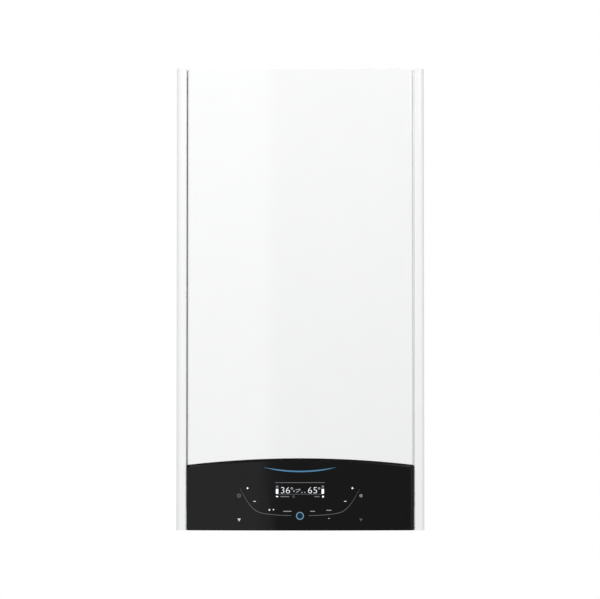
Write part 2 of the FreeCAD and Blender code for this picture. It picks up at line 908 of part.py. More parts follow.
def make_front_casing():
    """A bowed tray with an arched, notched lower lip and four rear tabs that hook on studs."""
    body = new_body("front_casing")
    low = "fascia_side - cut_overrun"
    outer = bow_outline("front_half", "bow_edge", "casing_depth", "front_corner", "front_rear")
    slab(body, "plan", low, "casing_height", outer)
    round_edges(body, "front_edge_round", front_top_edge)
    inner = bow_outline(
        "front_half - casing_sheet",
        "bow_edge - casing_sheet",
        "casing_depth - casing_sheet",
        "front_corner - casing_sheet",
        "front_rear - cut_overrun",
    )
    levels = (f"{low} - cut_overrun", "casing_height - casing_sheet")
    slab(body, "plan", *levels, inner, cut=True)
    ledge = ("bow_edge - front_ledge", "casing_depth - casing_sheet / 2")
    reach = "(front_half - casing_sheet / 2)"
    strip = [
        (reach, "fascia_side", "0", "fascia_height"),
        (flip(reach), "fascia_side"),
        (flip(reach), "fascia_side + casing_sheet", "0", "fascia_height + casing_sheet"),
        (reach, "fascia_side + casing_sheet"),
    ]
    slab(body, "front", *ledge, strip)
    wide = "front_half + cut_overrun"
    far = "casing_depth + cut_overrun"
    around = outer + [
        (flip(wide), "front_rear"),
        (flip(wide), far),
        (wide, far),
        (wide, "front_rear"),
    ]
    slab(body, "plan", f"{low} - cut_overrun", "fascia_height + front_ledge", around, cut=True)
    under = below_arch("fascia_side", "fascia_height", "front_half")
    slab(body, "front", "front_rear - cut_overrun", far, under, cut=True)
    top_span = ("-front_half + front_corner", "front_half - front_corner")
    top_rear = "bow_edge - top_return"
    top_sheet = ("casing_height - casing_sheet", "casing_height")
    box(body, top_span, (top_rear, "front_rear + cut_overrun"), top_sheet)
    for side in (1, -1):
        for height in ("upper_hook_height", "lower_hook_height"):
            tab = ("front_half - casing_sheet", "front_half")
            span = (f"{height} - tab_height / 2", f"{height} + tab_height / 2")
            depths = ("front_rear - tab_reach", "front_rear + cut_overrun")
            box(body, tab, depths, span, side=side)
            reach = "hook_neck_radius + seat_gap"
            notch = [
                (f"hook_depth - ({reach})", height, "hook_depth", f"{height} + {reach}"),
                (f"hook_depth + {reach}", height),
                (f"hook_depth + {reach}", f"{height} - tab_height"),
                (f"hook_depth - ({reach})", f"{height} - tab_height"),
            ]
            wall = (f"{tab[0]} - seat_gap", f"{tab[1]} + seat_gap")
            slab(body, "side", *wall, notch, cut=True, side=side)
    for step in (-1, 0, 1):
        middle = f"{step} * ledge_notch_pitch"
        notch = (f"{middle} - ledge_notch_half", f"{middle} + ledge_notch_half")
        depths = ("bow_edge - front_ledge - cut_overrun", "bow_edge - casing_sheet")
        box(body, notch, depths, ("fascia_side", "fascia_height + front_ledge"), cut=True)


def front_top_edge(edge):
    """The outer top edge of the bowed front, without its rear edge."""
    span = edge.BoundBox
    top = number("casing_height")
    if span.ZMin < top - SAME_PLACE:
        return False
    return span.YMin < -number("front_rear") - SAME_PLACE


def make_front_insulation():
    """A board on the inside of the front, its face following the bow."""
    body = new_body("front_insulation")
    edge_share = "(1 - pow(insulation_half / (front_half - front_corner); 2))"
    bow_here = f"bow_edge + front_bow * {edge_share} - casing_sheet - seat_gap"
    rear = "bow_edge - casing_sheet - insulation_thickness"
    outline = [
        ("insulation_half", rear),
        ("insulation_half", bow_here, "0", "casing_depth - casing_sheet - seat_gap"),
        ("-insulation_half", bow_here),
        ("-insulation_half", rear),
    ]
    low = "fascia_height + insulation_margin"
    slab(body, "plan", low, "casing_height - insulation_margin", outline)


def make_top_panel():
    body = new_body("top_panel")
    across = ("-chassis_half", "chassis_half")
    depths = ("casing_sheet + seat_gap", "top_front")
    plate = ("top_panel_height", "top_panel_height + casing_sheet")
    box(body, across, depths, plate)
    for side in (1, -1):
        flange = ("chassis_half - casing_sheet", "chassis_half")
        heights = ("top_panel_height - top_flange", "top_panel_height + casing_sheet")
        box(body, flange, ("on_frame", "top_front"), heights, side=side)
        for depth in ("frame_screw_rear", "frame_screw_front"):
            centre = ("frame_screw_offset", depth)
            hole(body, "height", *plate, centre, "screw_radius + screw_play", side=side)
        for sign in ("+", "-"):
            centre = ("adapter_hole_offset", f"flue_depth {sign} adapter_hole_offset")
            hole(body, "height", *plate, centre, "adapter_hole_radius", side=side)
    hole(body, "height", *plate, ("0", "flue_depth"), "air_opening_radius")
    hole(body, "height", *plate, ("-spare_inlet_offset", "flue_depth"), "spare_inlet_radius")


def make_frame_screws():
    body = new_body("frame_screws")
    head_low = "top_panel_height + casing_sheet"
    for side in (1, -1):
        for depth in ("frame_screw_rear", "frame_screw_front"):
            centre = ("frame_screw_offset", depth)
            shank = (f"{head_low} - screw_length", head_low)
            rod(body, "height", *shank, centre, "screw_radius", side=side)
            head = (head_low, f"{head_low} + screw_head_height")
            rod(body, "height", *head, centre, "screw_head_radius", side=side)


def make_air_inlet_cap():
    """The plate that closes the second air opening, with a plug that centres it."""
    body = new_body("air_inlet_cap", x="-spare_inlet_offset", depth="flue_depth")
    low = "top_panel_height + casing_sheet"
    centre = ("0", "0")
    plate = (low, f"{low} + cap_sheet")
    rod(body, "height", *plate, centre, "spare_inlet_radius + cap_overlap")
    plug = "spare_inlet_radius - seat_gap"
    rod(body, "height", f"{low} - cap_plug", low, centre, plug)
    hollow = (f"{low} - cap_plug - cut_overrun", low)
    rod(body, "height", *hollow, centre, f"{plug} - cap_sheet", cut=True)


def make_chamber_shell():
    """The sealed box round the heat cell: five panels, open at the front, with clip ears below."""
    body = new_body("chamber_shell")
    walls = ("-chamber_half", "chamber_half")
    rear = ("chamber_rear", "chamber_rear + casing_sheet")
    box(body, walls, rear, ("chamber_low", "chamber_high"))
    panel = ("chamber_rear + casing_sheet + panel_seam", "chamber_front")
    rim = ("chamber_front - casing_sheet", "chamber_front")
    rim_width = ("-chamber_half - chamber_flange", "chamber_half + chamber_flange")
    floor = ("chamber_low", "chamber_low + casing_sheet")
    box(body, walls, panel, floor)
    box(body, rim_width, rim, ("chamber_low - chamber_flange", "chamber_low + casing_sheet"))
    roof = ("chamber_high - casing_sheet", "chamber_high")
    box(body, walls, panel, roof)
    box(body, rim_width, rim, ("chamber_high - casing_sheet", "frame_top"))
    collar = "air_opening_radius + collar_wall"
    rod(body, "height", roof[0], "frame_top", ("0", "flue_depth"), collar)
    hole(body, "height", roof[0], "frame_top", ("0", "flue_depth"), "air_opening_radius")
    between = ("chamber_low + casing_sheet + panel_seam", "chamber_high - casing_sheet - panel_seam")
    risers = "riser_radius + seat_gap"
    for side in (1, -1):
        box(body, ("chamber_wall", "chamber_half"), panel, between, side=side)
        box(body, ("chamber_wall", "chamber_half + chamber_flange"), rim, between, side=side)
        hole(body, "height", *floor, ("riser_offset", "riser_depth"), risers, side=side)
        add_clip_ears(body, side)
    feed = ("-gas_feed_offset", "fan_depth")
    hole(body, "height", *floor, feed, "gas_feed_radius + seat_gap")
    drain = ("drain_offset", "drain_depth")
    hole(body, "height", *floor, drain, "hose_radius + seat_gap")


def add_clip_ears(body, side):
    """Two ears below the flange that hold one clip's pivot."""
    low = "clip_pivot_height - ear_height / 2"
    high = "clip_pivot_height + ear_height / 2"
    reach = "clip_pivot_depth + ear_reach / 2"
    strip = ("clip_offset - clip_half - seat_gap - ear_sheet",)
    strip += ("clip_offset + clip_half + seat_gap + ear_sheet",)
    plate = ("chamber_front - casing_sheet", "chamber_front")
    box(body, strip, plate, (low, "chamber_low"), side=side)
    for sign in ("+", "-"):
        near = f"clip_offset {sign} (clip_half + seat_gap)"
        far = f"clip_offset {sign} (clip_half + seat_gap + ear_sheet)"
        span = (near, far) if sign == "+" else (far, near)
        box(body, span, (plate[0], reach), (low, high), side=side)
        centre = ("clip_pivot_depth", "clip_pivot_height")
        hole(body, "x", *span, centre, "clip_pin_radius + running_gap", side=side)


def make_cover_clip(label, side):
    """A lever that presses the chamber cover from in front, on a pivot below it."""
    body = new_body(label)
    span = ("clip_offset - clip_half", "clip_offset + clip_half")
    centre = ("clip_pivot_depth", "clip_pivot_height")
    rod(body, "x", *span, centre, "clip_hub_radius", side=side)
    tail = "seat_gap + ear_sheet"
    pin = (f"{span[0]} - ({tail})", f"{span[1]} + {tail}")
    rod(body, "x", *pin, centre, "clip_pin_radius", side=side)
    top = "clip_pivot_height + clip_height"
    blade = ("clip_rear", "clip_rear + clip_sheet")
    box(body, span, blade, ("clip_pivot_height", top), side=side)
    handle = ("clip_rear", "clip_rear + clip_sheet + clip_handle")
    box(body, span, handle, (f"{top} - clip_sheet", top), side=side)


def make_chamber_cover():
    """The lid that hangs on the top panel's front edge and closes the chamber."""
    body = new_body("chamber_cover")
    across = ("-cover_half", "cover_half")
    plate = ("cover_front - cover_sheet", "cover_front")
    hook_low = "top_panel_height + casing_sheet + seat_gap"
    high = f"{hook_low} + cover_sheet"
    box(body, across, plate, ("cover_low", high))
    hook = ("cover_front - cover_hook_reach", "cover_front")
    box(body, across, hook, (hook_low, high))
    lip = ("cover_front - cover_sheet", "cover_lip_front")
    box(body, across, lip, ("cover_low", "cover_low + cover_sheet"))
    for side in (1, -1):
        edge = ("cover_half - cover_sheet", "cover_half")
        depths = ("chamber_front + seat_gap", "cover_front")
        box(body, edge, depths, ("cover_low", "frame_top"), side=side)


def make_cover_seal():
    """A foam frame on the cover's inner face, against the chamber's flange."""
    body = new_body("cover_seal")
    half = "chamber_half + chamber_flange - seat_gap"
    low = "chamber_low - chamber_flange + seat_gap"
    high = "frame_top - seat_gap"
    outer = frame_loop(half, low, high)
    inner = frame_loop(f"{half} - seal_width", f"{low} + seal_width", f"{high} - seal_width")
    rear = "cover_front - cover_sheet - seal_thickness"
    slab(body, "front", rear, f"{rear} + seal_thickness", outer, inner)


def frame_loop(half, low, high):
    return [(half, low), (half, high), (flip(half), high), (flip(half), low)]


def make_heat_exchanger_shell():
    """A steel drum, open at the front, with a flue neck on top and a drain below."""
    body = new_body("heat_exchanger_shell")
    centre = ("0", "cell_height")
    rod(body, "depth", "cell_rear", "cell_front", centre, "cell_radius")
    flange = ("cell_front - cell_flange", "cell_front")
    rod(body, "depth", *flange, centre, "cell_flange_radius")
    rod(body, "height", "cell_height", "neck_high", ("0", "flue_depth"), "neck_radius")
    top = "cell_height - cell_radius + cell_wall"
    drain = ("drain_offset", "drain_depth")
    rod(body, "height", "drain_low", "cell_height - cell_radius / 2", drain, "drain_radius")
    room = ("cell_rear + cell_wall", "cell_front + cut_overrun")
    rod(body, "depth", *room, centre, "cell_radius - cell_wall", cut=True)
    neck = ("cell_height", "neck_high + cut_overrun")
    duct = "duct_bore + duct_wall + seat_gap"
    rod(body, "height", *neck, ("0", "flue_depth"), duct, cut=True)
    for side in (1, -1):
        wall = ("cell_radius - 2 * cell_wall", "cell_radius")
        stub = "riser_radius + seat_gap"
        hole(body, "x", *wall, ("riser_depth", "cell_height"), stub, side=side)
    for number_of_stud in range(STUDS):
        stud = stud_place(number_of_stud)
        tip = "cell_front + stud_length"
        rod(body, "depth", "cell_front - cell_flange", tip, stud, "stud_radius")


def stud_place(index):
    angle = f"(360 * {index} / {STUDS})"
    return (
        f"stud_circle_radius * cos{angle}",
        f"cell_height + stud_circle_radius * sin{angle}",
    )


def make_heat_exchanger_rings():
    """Five tube rings side by side, joined by a header on the left and on the right."""
    body = new_body("heat_exchanger_rings")
    for ring in range(RINGS):
        feature = primitive(
            body, "Torus", False, Radius1="ring_radius", Radius2="ring_tube_radius"
        )
        feature.Placement = FreeCAD.Placement(FreeCAD.Vector(), TURNS["depth"])
        place(feature, "0", f"-ring_first_depth - {ring} * ring_pitch", "cell_height")
    rear = "ring_first_depth - ring_tube_radius"
    front = f"ring_first_depth + {RINGS - 1} * ring_pitch + ring_tube_radius"
    for side in (1, -1):
        centre = ("header_offset", "cell_height")
        rod(body, "depth", rear, front, centre, "header_radius", side=side)
        stub = ("header_offset", "cell_radius + stub_reach")
        rod(body, "x", *stub, ("riser_depth", "cell_height"), "riser_radius", side=side)


def make_burner_door():
    body = new_body("burner_door")
    depths = ("cell_front + seat_gap", "door_front")
    centre = ("0", "cell_height")
    rod(body, "depth", *depths, centre, "cell_flange_radius")
    hole(body, "depth", *depths, centre, "burner_radius + seat_gap")
    for index in range(STUDS):
        hole(body, "depth", *depths, stud_place(index), "stud_radius + seat_gap")
    for sign in ("+", "-"):
        spot = (f"electrode_offset {sign} electrode_spread", "electrode_height")
        hole(body, "depth", *depths, spot, "ceramic_radius + seat_gap")


def make_door_nuts():
    body = new_body("door_nuts")
    depths = ("door_front", "door_front + nut_height")
    for index in range(STUDS):
        x, height = stud_place(index)
        corners = []
        for corner in range(6):
            angle = f"({corner} * 60)"
            corners.append((f"{x} + nut_radius * cos{angle}", f"{height} + nut_radius * sin{angle}"))
        bore = ("circle", x, height, "stud_radius + running_gap")
        slab(body, "front", *depths, corners, bore)


def make_burner():
    """A closed burner tube with a flange that is held on the door."""
    body = new_body("burner")
    centre = ("0", "cell_height")
    rod(body, "depth", "burner_rear", "burner_face", centre, "burner_radius")
    rod(body, "depth", "door_front", "burner_face", centre, "burner_flange_radius")
    room = ("burner_rear + burner_wall", "burner_face + cut_overrun")
    rod(body, "depth", *room, centre, "burner_radius - burner_wall", cut=True)


def make_burner_manifold():
    """The cast duct that carries the mixture from the fan up to the burner."""
    body = new_body("burner_manifold")
    centre = ("0", "cell_height")
    rod(body, "depth", "manifold_rear", "manifold_front", centre, "manifold_radius")
    legs = ("-manifold_half - manifold_wall", "manifold_half + manifold_wall")
    box(body, legs, ("manifold_rear", "manifold_front"), ("manifold_low", "cell_height"))
    room = ("manifold_rear - cut_overrun", "manifold_front - manifold_wall")
    rod(body, "depth", *room, centre, "manifold_radius - manifold_wall", cut=True)
    duct = ("-manifold_half", "manifold_half")
    box(body, duct, room, ("manifold_low - cut_overrun", "cell_height"), cut=True)
    back = ("manifold_rear", "manifold_rear + manifold_wall")
    box(body, legs, back, ("manifold_low", "cell_height - manifold_radius"))


def make_electrodes():
    """The ignition pair: a plate on the door, two ceramics and two wires to the burner."""
    body = new_body("electrodes")
    half = "electrode_plate_half"
    across = (f"electrode_offset - {half}", f"electrode_offset + {half}")
    heights = (f"electrode_height - {half}", f"electrode_height + {half}")
    box(body, across, ("door_front", "door_front + electrode_plate"), heights)
    for sign in ("+", "-"):
        spot = (f"electrode_offset {sign} electrode_spread", "electrode_height")
        rod(body, "depth", "cell_front - cell_flange", "ceramic_front", spot, "ceramic_radius")
        rod(body, "depth", "electrode_tip", "ceramic_front", spot, "electrode_radius")


def make_ignition_transformer():
    body = new_body("ignition_transformer")
    right = "chamber_wall - seat_gap"
    across = (f"{right} - transformer_width", right)
    heights = ("transformer_low", "transformer_low + transformer_height")
    box(body, across, ("transformer_rear", "transformer_front"), heights)
    round_edges(body, "front_edge_round", upright)


def make_ignition_lead():
    """The lead from the transformer's front down to the right electrode."""
    x = "electrode_offset + electrode_spread"
    box_x = "chamber_wall - seat_gap - transformer_width / 2"
    box_height = "transformer_low + transformer_height / 2"
    front = "transformer_front + 6 * lead_radius"
    points = [
        (x, "ceramic_front", "electrode_height"),
        (x, front, "electrode_height"),
        (f"({x} + {box_x}) / 2", front, f"(electrode_height + {box_height}) / 2 + lead_bend"),
        (box_x, front, box_height),
        (box_x, "transformer_front", box_height),
    ]
    tube("ignition_lead", points, "lead_radius", "lead_bend")


def make_fan_housing():
    """A scroll with an eye on the left, a shaft hole on the right and an outlet upwards."""
    body = new_body("fan_housing")
    centre = ("fan_depth", "fan_height")
    span = ("-scroll_half", "scroll_half")
    rod(body, "x", *span, centre, "scroll_radius")
    duct_top = "manifold_low - seat_gap"
    duct = ("scroll_duct_rear", "manifold_front")
    box(body, span, duct, ("fan_height", duct_top))
    room = ("-scroll_half - cut_overrun", "scroll_half - scroll_wall")
    rod(body, "x", *room, centre, "scroll_radius - scroll_wall", cut=True)
    inner = ("-scroll_half + scroll_wall", "scroll_half - scroll_wall")
    inner_duct = ("scroll_duct_rear + scroll_wall", "manifold_front - scroll_wall")
    box(body, inner, inner_duct, ("fan_height", f"{duct_top} + cut_overrun"), cut=True)
    face = ("-scroll_half", "-scroll_half + scroll_wall")
    ring = ("circle", *centre, "scroll_radius")
    eye = ("circle", *centre, "eye_radius")
    slab(body, "side", *face, ring, eye)
    shaft = ("scroll_half - scroll_wall", "scroll_half")
    hole(body, "x", *shaft, centre, "fan_hub_radius")


def make_fan_impeller():
    """A wheel of twelve blades between two discs, on a shaft into the motor."""
    body = new_body("fan_impeller", depth="fan_depth", height="fan_height")
    centre = ("0", "0")
    right = "fan_wheel_half"
    rod(body, "x", f"{right} - fan_disc", right, centre, "fan_wheel_radius")
    rim = ("circle", "0", "0", "fan_wheel_radius")
    mouth = ("circle", "0", "0", "fan_wheel_radius - blade_height")
    slab(body, "side", f"-{right}", f"-{right} + fan_disc", rim, mouth)
    rod(body, "x", "0", right, centre, "fan_hub_radius - moving_gap")
    shaft_end = "fan_motor_left + fan_shaft_length"
    rod(body, "x", "0", shaft_end, centre, "fan_shaft_radius")
    foot = "fan_wheel_radius - blade_height + fan_disc / 2"
    blade = [
        ("blade_thickness / 2", foot),
        ("blade_thickness / 2", "fan_wheel_radius - fan_disc / 2"),
        ("-blade_thickness / 2", "fan_wheel_radius - fan_disc / 2"),
        ("-blade_thickness / 2", foot),
    ]
    vane = slab(body, "side", f"-{right} + fan_disc / 2", f"{right} - fan_disc / 2", blade)
    wheel = body.newObject("PartDesign::PolarPattern", "fan_blades")
    wheel.Originals = [vane]
    axis = next(o for o in body.Origin.OriginFeatures if o.Role == "X_Axis")
    wheel.Axis = (axis, [""])
    wheel.Angle = 360
    wheel.Occurrences = FAN_BLADES
    body.Tip = wheel


def make_fan_motor():
    body = new_body("fan_motor")
    centre = ("fan_depth", "fan_height")
    end = "fan_motor_left + fan_motor_length"
    rod(body, "x", "fan_motor_left", end, centre, "fan_motor_radius")
    bore = ("fan_motor_left - cut_overrun", "fan_motor_left + fan_shaft_length + seat_gap")
    rod(body, "x", *bore, centre, "fan_shaft_radius + shaft_play", cut=True)
    round_edges(body, "front_corner", lambda edge: at_x(edge, number(end)))


def at_x(edge, place_x):
    """True of a round edge of full size in the plane across +X at that place."""
    span = edge.BoundBox
    flat = abs(span.XMin - place_x) < SAME_PLACE and abs(span.XMax - place_x) < SAME_PLACE
    return flat and span.ZLength > number("fan_motor_radius")


def make_mixer():
    """The venturi between the silencer and the fan's eye."""
    body = new_body("mixer")
    centre = ("fan_depth", "fan_height")
    span = ("mixer_left", "-scroll_half - seat_gap")
    rod(body, "x", *span, centre, "mixer_radius")
    hole(body, "x", *span, centre, "mixer_radius - mixer_wall")


def make_silencer():
    """A hollow box on the mixer's left, with a snorkel up into the chamber."""
    body = new_body("silencer")
    span = ("silencer_left", "silencer_right")
    depths = ("silencer_rear", "silencer_front")
    box(body, span, depths, ("silencer_low", "silencer_high"))
    snorkel = ("silencer_left", "silencer_left + snorkel_width")
    box(body, snorkel, depths, ("silencer_low", "snorkel_high"))
    round_edges(body, "silencer_round", upright)
    wall = "silencer_wall"
    room_depths = (f"silencer_rear + {wall}", f"silencer_front - {wall}")
    room = (f"silencer_left + {wall}", "silencer_right + cut_overrun")
    box(body, room, room_depths, (f"silencer_low + {wall}", f"silencer_high - {wall}"), cut=True)
    shaft = (f"silencer_left + {wall}", f"silencer_left + snorkel_width - {wall}")
    box(body, shaft, room_depths, (f"silencer_low + {wall}", "snorkel_high + cut_overrun"), cut=True)
    face = (f"silencer_right - {wall}", "silencer_right")
    inset = "silencer_round"
    plate = [
        (f"silencer_rear + {inset}", "silencer_low"),
        (f"silencer_front - {inset}", "silencer_low"),
        (f"silencer_front - {inset}", "silencer_high"),
        (f"silencer_rear + {inset}", "silencer_high"),
    ]
    mouth = ("circle", "fan_depth", "fan_height", "mixer_radius - mixer_wall")
    slab(body, "side", *face, plate, mouth)


def make_exhaust_duct():
    body = new_body("exhaust_duct", depth="flue_depth")
    span = ("duct_low", "socket_low + socket_step - seat_gap")
    rod(body, "height", *span, ("0", "0"), "duct_bore + duct_wall")
    hole(body, "height", *span, ("0", "0"), "duct_bore")


def make_flue_socket():
    """The flue pipe's socket, stepped at its foot to slide over the duct."""
    body = new_body("flue_socket", depth="flue_depth")
    top = "top_panel_height + casing_sheet"
    rod(body, "height", "socket_low", top, ("0", "0"), "socket_radius")
    hole(body, "height", "socket_low", top, ("0", "0"), "socket_bore")
    step = ("socket_low - cut_overrun", "socket_low + socket_step")
    rod(body, "height", *step, ("0", "0"), "duct_bore + duct_wall + seat_gap", cut=True)


def make_pipe_plate():
    """The plate that carries the water and gas parts, with the control panel's two arms."""
    body = new_body("pipe_plate")
    across = ("-chassis_half", "chassis_half")
    plate = ("plate_height", "plate_height + plate_sheet")
    box(body, across, ("on_frame", "plate_front"), plate)
    flange = ("plate_height", "plate_height + plate_flange")
    box(body, across, ("on_frame", "on_frame + plate_sheet"), flange)
    for place_x, radius, bore in connections():
        centre = (place_x, "connection_depth")
        hole(body, "height", *plate, centre, f"{radius} + connection_play")
    stub = ("filling_offset", "filling_depth")
    hole(body, "height", *plate, stub, "filling_stub_radius + seat_gap")
    outlet = ("trap_offset", "trap_depth")
    hole(body, "height", *plate, outlet, "trap_outlet_radius + connection_play")
    low = "hinge_height - hinge_arm_round"
    high = "hinge_height + hinge_arm_round"
    arm = [
        ("hinge_arm_rear", "plate_height"),
        ("plate_front", "plate_height"),
        ("hinge_depth", high, "hinge_depth + hinge_arm_round", "hinge_height"),
        ("hinge_depth", low),
        ("plate_front", "plate_height - hinge_arm_drop"),
        ("hinge_arm_rear", "plate_height - hinge_arm_drop"),
    ]
    for side in (1, -1):
        span = ("hinge_arm_offset", "hinge_arm_offset + hinge_arm_sheet")
        pin = ("circle", "hinge_depth", "hinge_height", "hinge_pin_radius + running_gap")
        slab(body, "side", *span, arm, pin, side=side)


def connections():
    """The five pipe ends from left to right: place, thread radius and bore."""
    large = ("large_thread_radius", "large_bore_radius")
    small = ("small_thread_radius", "small_bore_radius")
    kinds = (large, small, large, small, large)
    return [(f"{step} * connection_pitch", *kind) for step, kind in zip(range(-2, 3), kinds)]


def add_connection(body, index, top):
    """One threaded pipe end that hangs below the plate."""
    place_x, radius, bore = connections()[index]
    centre = (place_x, "connection_depth")
    rod(body, "height", "connection_end", top, centre, radius)
    collar = ("plate_height + plate_sheet + seat_gap", top)
    rod(body, "height", *collar, centre, f"{radius} + connection_collar")
    end = ("connection_end - cut_overrun", "connection_end + connection_bore_depth")
    rod(body, "height", *end, centre, bore, cut=True)


def casting_edge(edge):
    return upright(edge) and edge.Length > number("casting_round") * 4


def add_castings(body, side):
    """The two joined blocks of one water group, mirrored for the other side."""
    depths = ("block_rear", "block_front")
    box(body, ("block_inner", "tower_inner"), depths, ("block_low", "block_high"), side=side)
    tower = ("tower_inner", "tower_outer")
    heights = ("block_low", "tower_high")
    box(body, tower, ("tower_rear", "tower_front"), heights, side=side)
    round_edges(body, "casting_round", casting_edge)
    inner = "exchanger_half - exchanger_boss"
    boss = ("exchanger_front + seat_gap", "block_rear + casting_round")
    boss_heights = ("block_low + casting_round", "block_high - casting_round")
    box(body, (inner, "exchanger_half"), boss, boss_heights, side=side)


def make_flow_group():
    body = new_body("flow_group")
    add_castings(body, -1)
    add_connection(body, 0, "block_low + casting_round")
    add_connection(body, 1, "block_low + casting_round")


def make_return_group():
    """The return side with the pump's volute and the port of the rising pipe."""
    body = new_body("return_group")
    add_castings(body, 1)
    add_connection(body, 3, "block_low + casting_round")
    add_connection(body, 4, "block_low + casting_round")
    centre = ("pump_offset", "pump_height")
    rod(body, "depth", "pump_rear", "pump_front", centre, "pump_radius")
    foot = ("pump_offset - pump_radius / 2", "pump_offset + pump_radius / 2")
    foot_heights = ("block_high - casting_round", "pump_height - pump_radius / 2")
    box(body, foot, ("pump_rear", "block_front - casting_round"), foot_heights)
    neck = ("pump_offset", "riser_offset + port_half")
    neck_depths = ("pump_front - 2 * port_half", "pump_front")
    box(body, neck, neck_depths, ("port_low", "port_high"))
    port = ("riser_offset - riser_radius", "riser_offset + port_half")
    port_depths = ("pump_front - port_half", "riser_depth + port_half")
    box(body, port, port_depths, ("port_low", "port_high"))
    room = ("pump_rear + pump_floor", "pump_front + cut_overrun")
    rod(body, "depth", *room, centre, "pump_bore", cut=True)
    stub = ("filling_offset", "filling_depth")
    span = ("filling_stub_low", "block_low + casting_round")
    rod(body, "height", *span, stub, "filling_stub_radius")
    stem = ("filling_stub_low - cut_overrun", "filling_stub_low + knob_stem_length + seat_gap")
    rod(body, "height", *stem, stub, "knob_stem_radius + shaft_play", cut=True)


def make_pump_impeller():
    """A disc with seven vanes on a shaft into the motor, turning about the depth axis."""
    body = new_body("pump_impeller", x="pump_offset", depth="pump_rear", height="pump_height")
    centre = ("0", "0")
    rear = "pump_floor + moving_gap"
    front = f"{rear} + pump_wheel_width"
    rod(body, "depth", rear, f"{rear} + pump_blade", centre, "pump_wheel_radius")
    rod(body, "depth", rear, front, centre, "2 * pump_shaft_radius")
    shaft_end = "pump_front - pump_rear + seat_gap + pump_shaft_length / 2"
    rod(body, "depth", rear, shaft_end, centre, "pump_shaft_radius")
    vane_loop = [
        ("pump_blade / 2", "pump_shaft_radius"),
        ("pump_blade / 2", "pump_wheel_radius - pump_blade / 2"),
        ("-pump_blade / 2", "pump_wheel_radius - pump_blade / 2"),
        ("-pump_blade / 2", "pump_shaft_radius"),
    ]
    vane = slab(body, "front", f"{rear} + pump_blade / 2", front, vane_loop)
    wheel = body.newObject("PartDesign::PolarPattern", "pump_vanes")
    wheel.Originals = [vane]
    axis = next(o for o in body.Origin.OriginFeatures if o.Role == "Y_Axis")
    wheel.Axis = (axis, [""])
    wheel.Angle = 360
    wheel.Occurrences = PUMP_VANES
    body.Tip = wheel


def make_pump_motor():
    body = new_body("pump_motor")
    centre = ("pump_offset", "pump_height")
    end = "pump_motor_rear + pump_motor_length"
    flange = ("pump_motor_rear", "pump_motor_rear + pump_floor")
    rod(body, "depth", *flange, centre, "pump_radius")
    rod(body, "depth", "pump_motor_rear", end, centre, "pump_motor_radius")
    depth = "pump_motor_rear + pump_shaft_length / 2 + seat_gap"
    bore = ("pump_motor_rear - cut_overrun", depth)
    rod(body, "depth", *bore, centre, "pump_shaft_radius + shaft_play", cut=True)


def make_plate_exchanger():
    """The brazed plate pack that heats the tap water."""
    body = new_body("plate_exchanger")
    across = ("-exchanger_half", "exchanger_half")
    depths = ("exchanger_rear", "exchanger_front")
    box(body, across, depths, ("exchanger_low", "exchanger_high"))
    round_edges(body, "exchanger_round", upright)
    gap = f"((exchanger_front - exchanger_rear) / {PLATE_GROOVES + 1})"
    cut = "casing_sheet"
    for index in range(1, PLATE_GROOVES + 1):
        middle = f"exchanger_rear + {index} * {gap}"
        groove = (f"{middle} - {cut} / 2", f"{middle} + {cut} / 2")
        heights = ("exchanger_high - casing_sheet", "exchanger_high + cut_overrun")
        box(body, across, groove, heights, cut=True)


def make_air_vent():
    body = new_body("air_vent", x="pump_offset", depth="(pump_rear + pump_front) / 2")
    low = "pump_height + pump_radius"
    top = f"{low} + vent_height"
    rod(body, "height", low, top, ("0", "0"), "vent_radius")
    cap = (top, f"{top} + vent_cap_height")
    rod(body, "height", *cap, ("0", "0"), "vent_cap_radius")


def make_diverter_motor():
    """The stepper that drives the three-way valve, on the front of the flow block."""
    body = new_body("diverter_motor")
    across = ("tower_inner + diverter_inset", "tower_outer - diverter_inset")
    depths = ("tower_front + seat_gap", "tower_front + seat_gap + diverter_length")
    box(body, across, depths, ("diverter_low", "diverter_high"), side=-1)
    round_edges(body, "casting_round", upright)


def make_relief_valve():
    body = new_body("relief_valve")
    centre = ("-relief_offset", "relief_height")
    front = "block_front + seat_gap + relief_length"
    rod(body, "depth", "block_front + seat_gap", front, centre, "relief_radius")
    stem = (f"{front} - knob_stem_length - seat_gap", f"{front} + cut_overrun")
    rod(body, "depth", *stem, centre, "knob_stem_radius + shaft_play", cut=True)


def ribbed_knob(body, axis, start, end, radius, stem):
    """A round knob with eight grip ribs and a stem, about the body's own axis."""
    centre = ("0", "0")
    rod(body, axis, start, end, centre, f"{radius} - knob_rib")
    rod(body, axis, *stem, centre, "knob_stem_radius")
    ring = f"({radius} - knob_rib)"
    for index in range(KNOB_RIBS):
        angle = f"(360 * {index} / {KNOB_RIBS})"
        spot = (f"{ring} * cos{angle}", f"{ring} * sin{angle}")
        rod(body, axis, start, end, spot, "knob_rib")


def make_relief_knob():
    body = new_body("relief_knob", x="-relief_offset", depth="knob_depth", height="relief_height")
    stem = ("-knob_stem_length", "0")
    ribbed_knob(body, "depth", "0", "relief_knob_length", "relief_knob_radius", stem)


def make_filling_knob():
    top = "filling_stub_low - seat_gap"
    body = new_body("filling_knob", x="filling_offset", depth="filling_depth", height=top)
    stem = ("0", "knob_stem_length")
    span = ("-filling_knob_length", "0")
    ribbed_knob(body, "height", *span, "filling_knob_radius", stem)


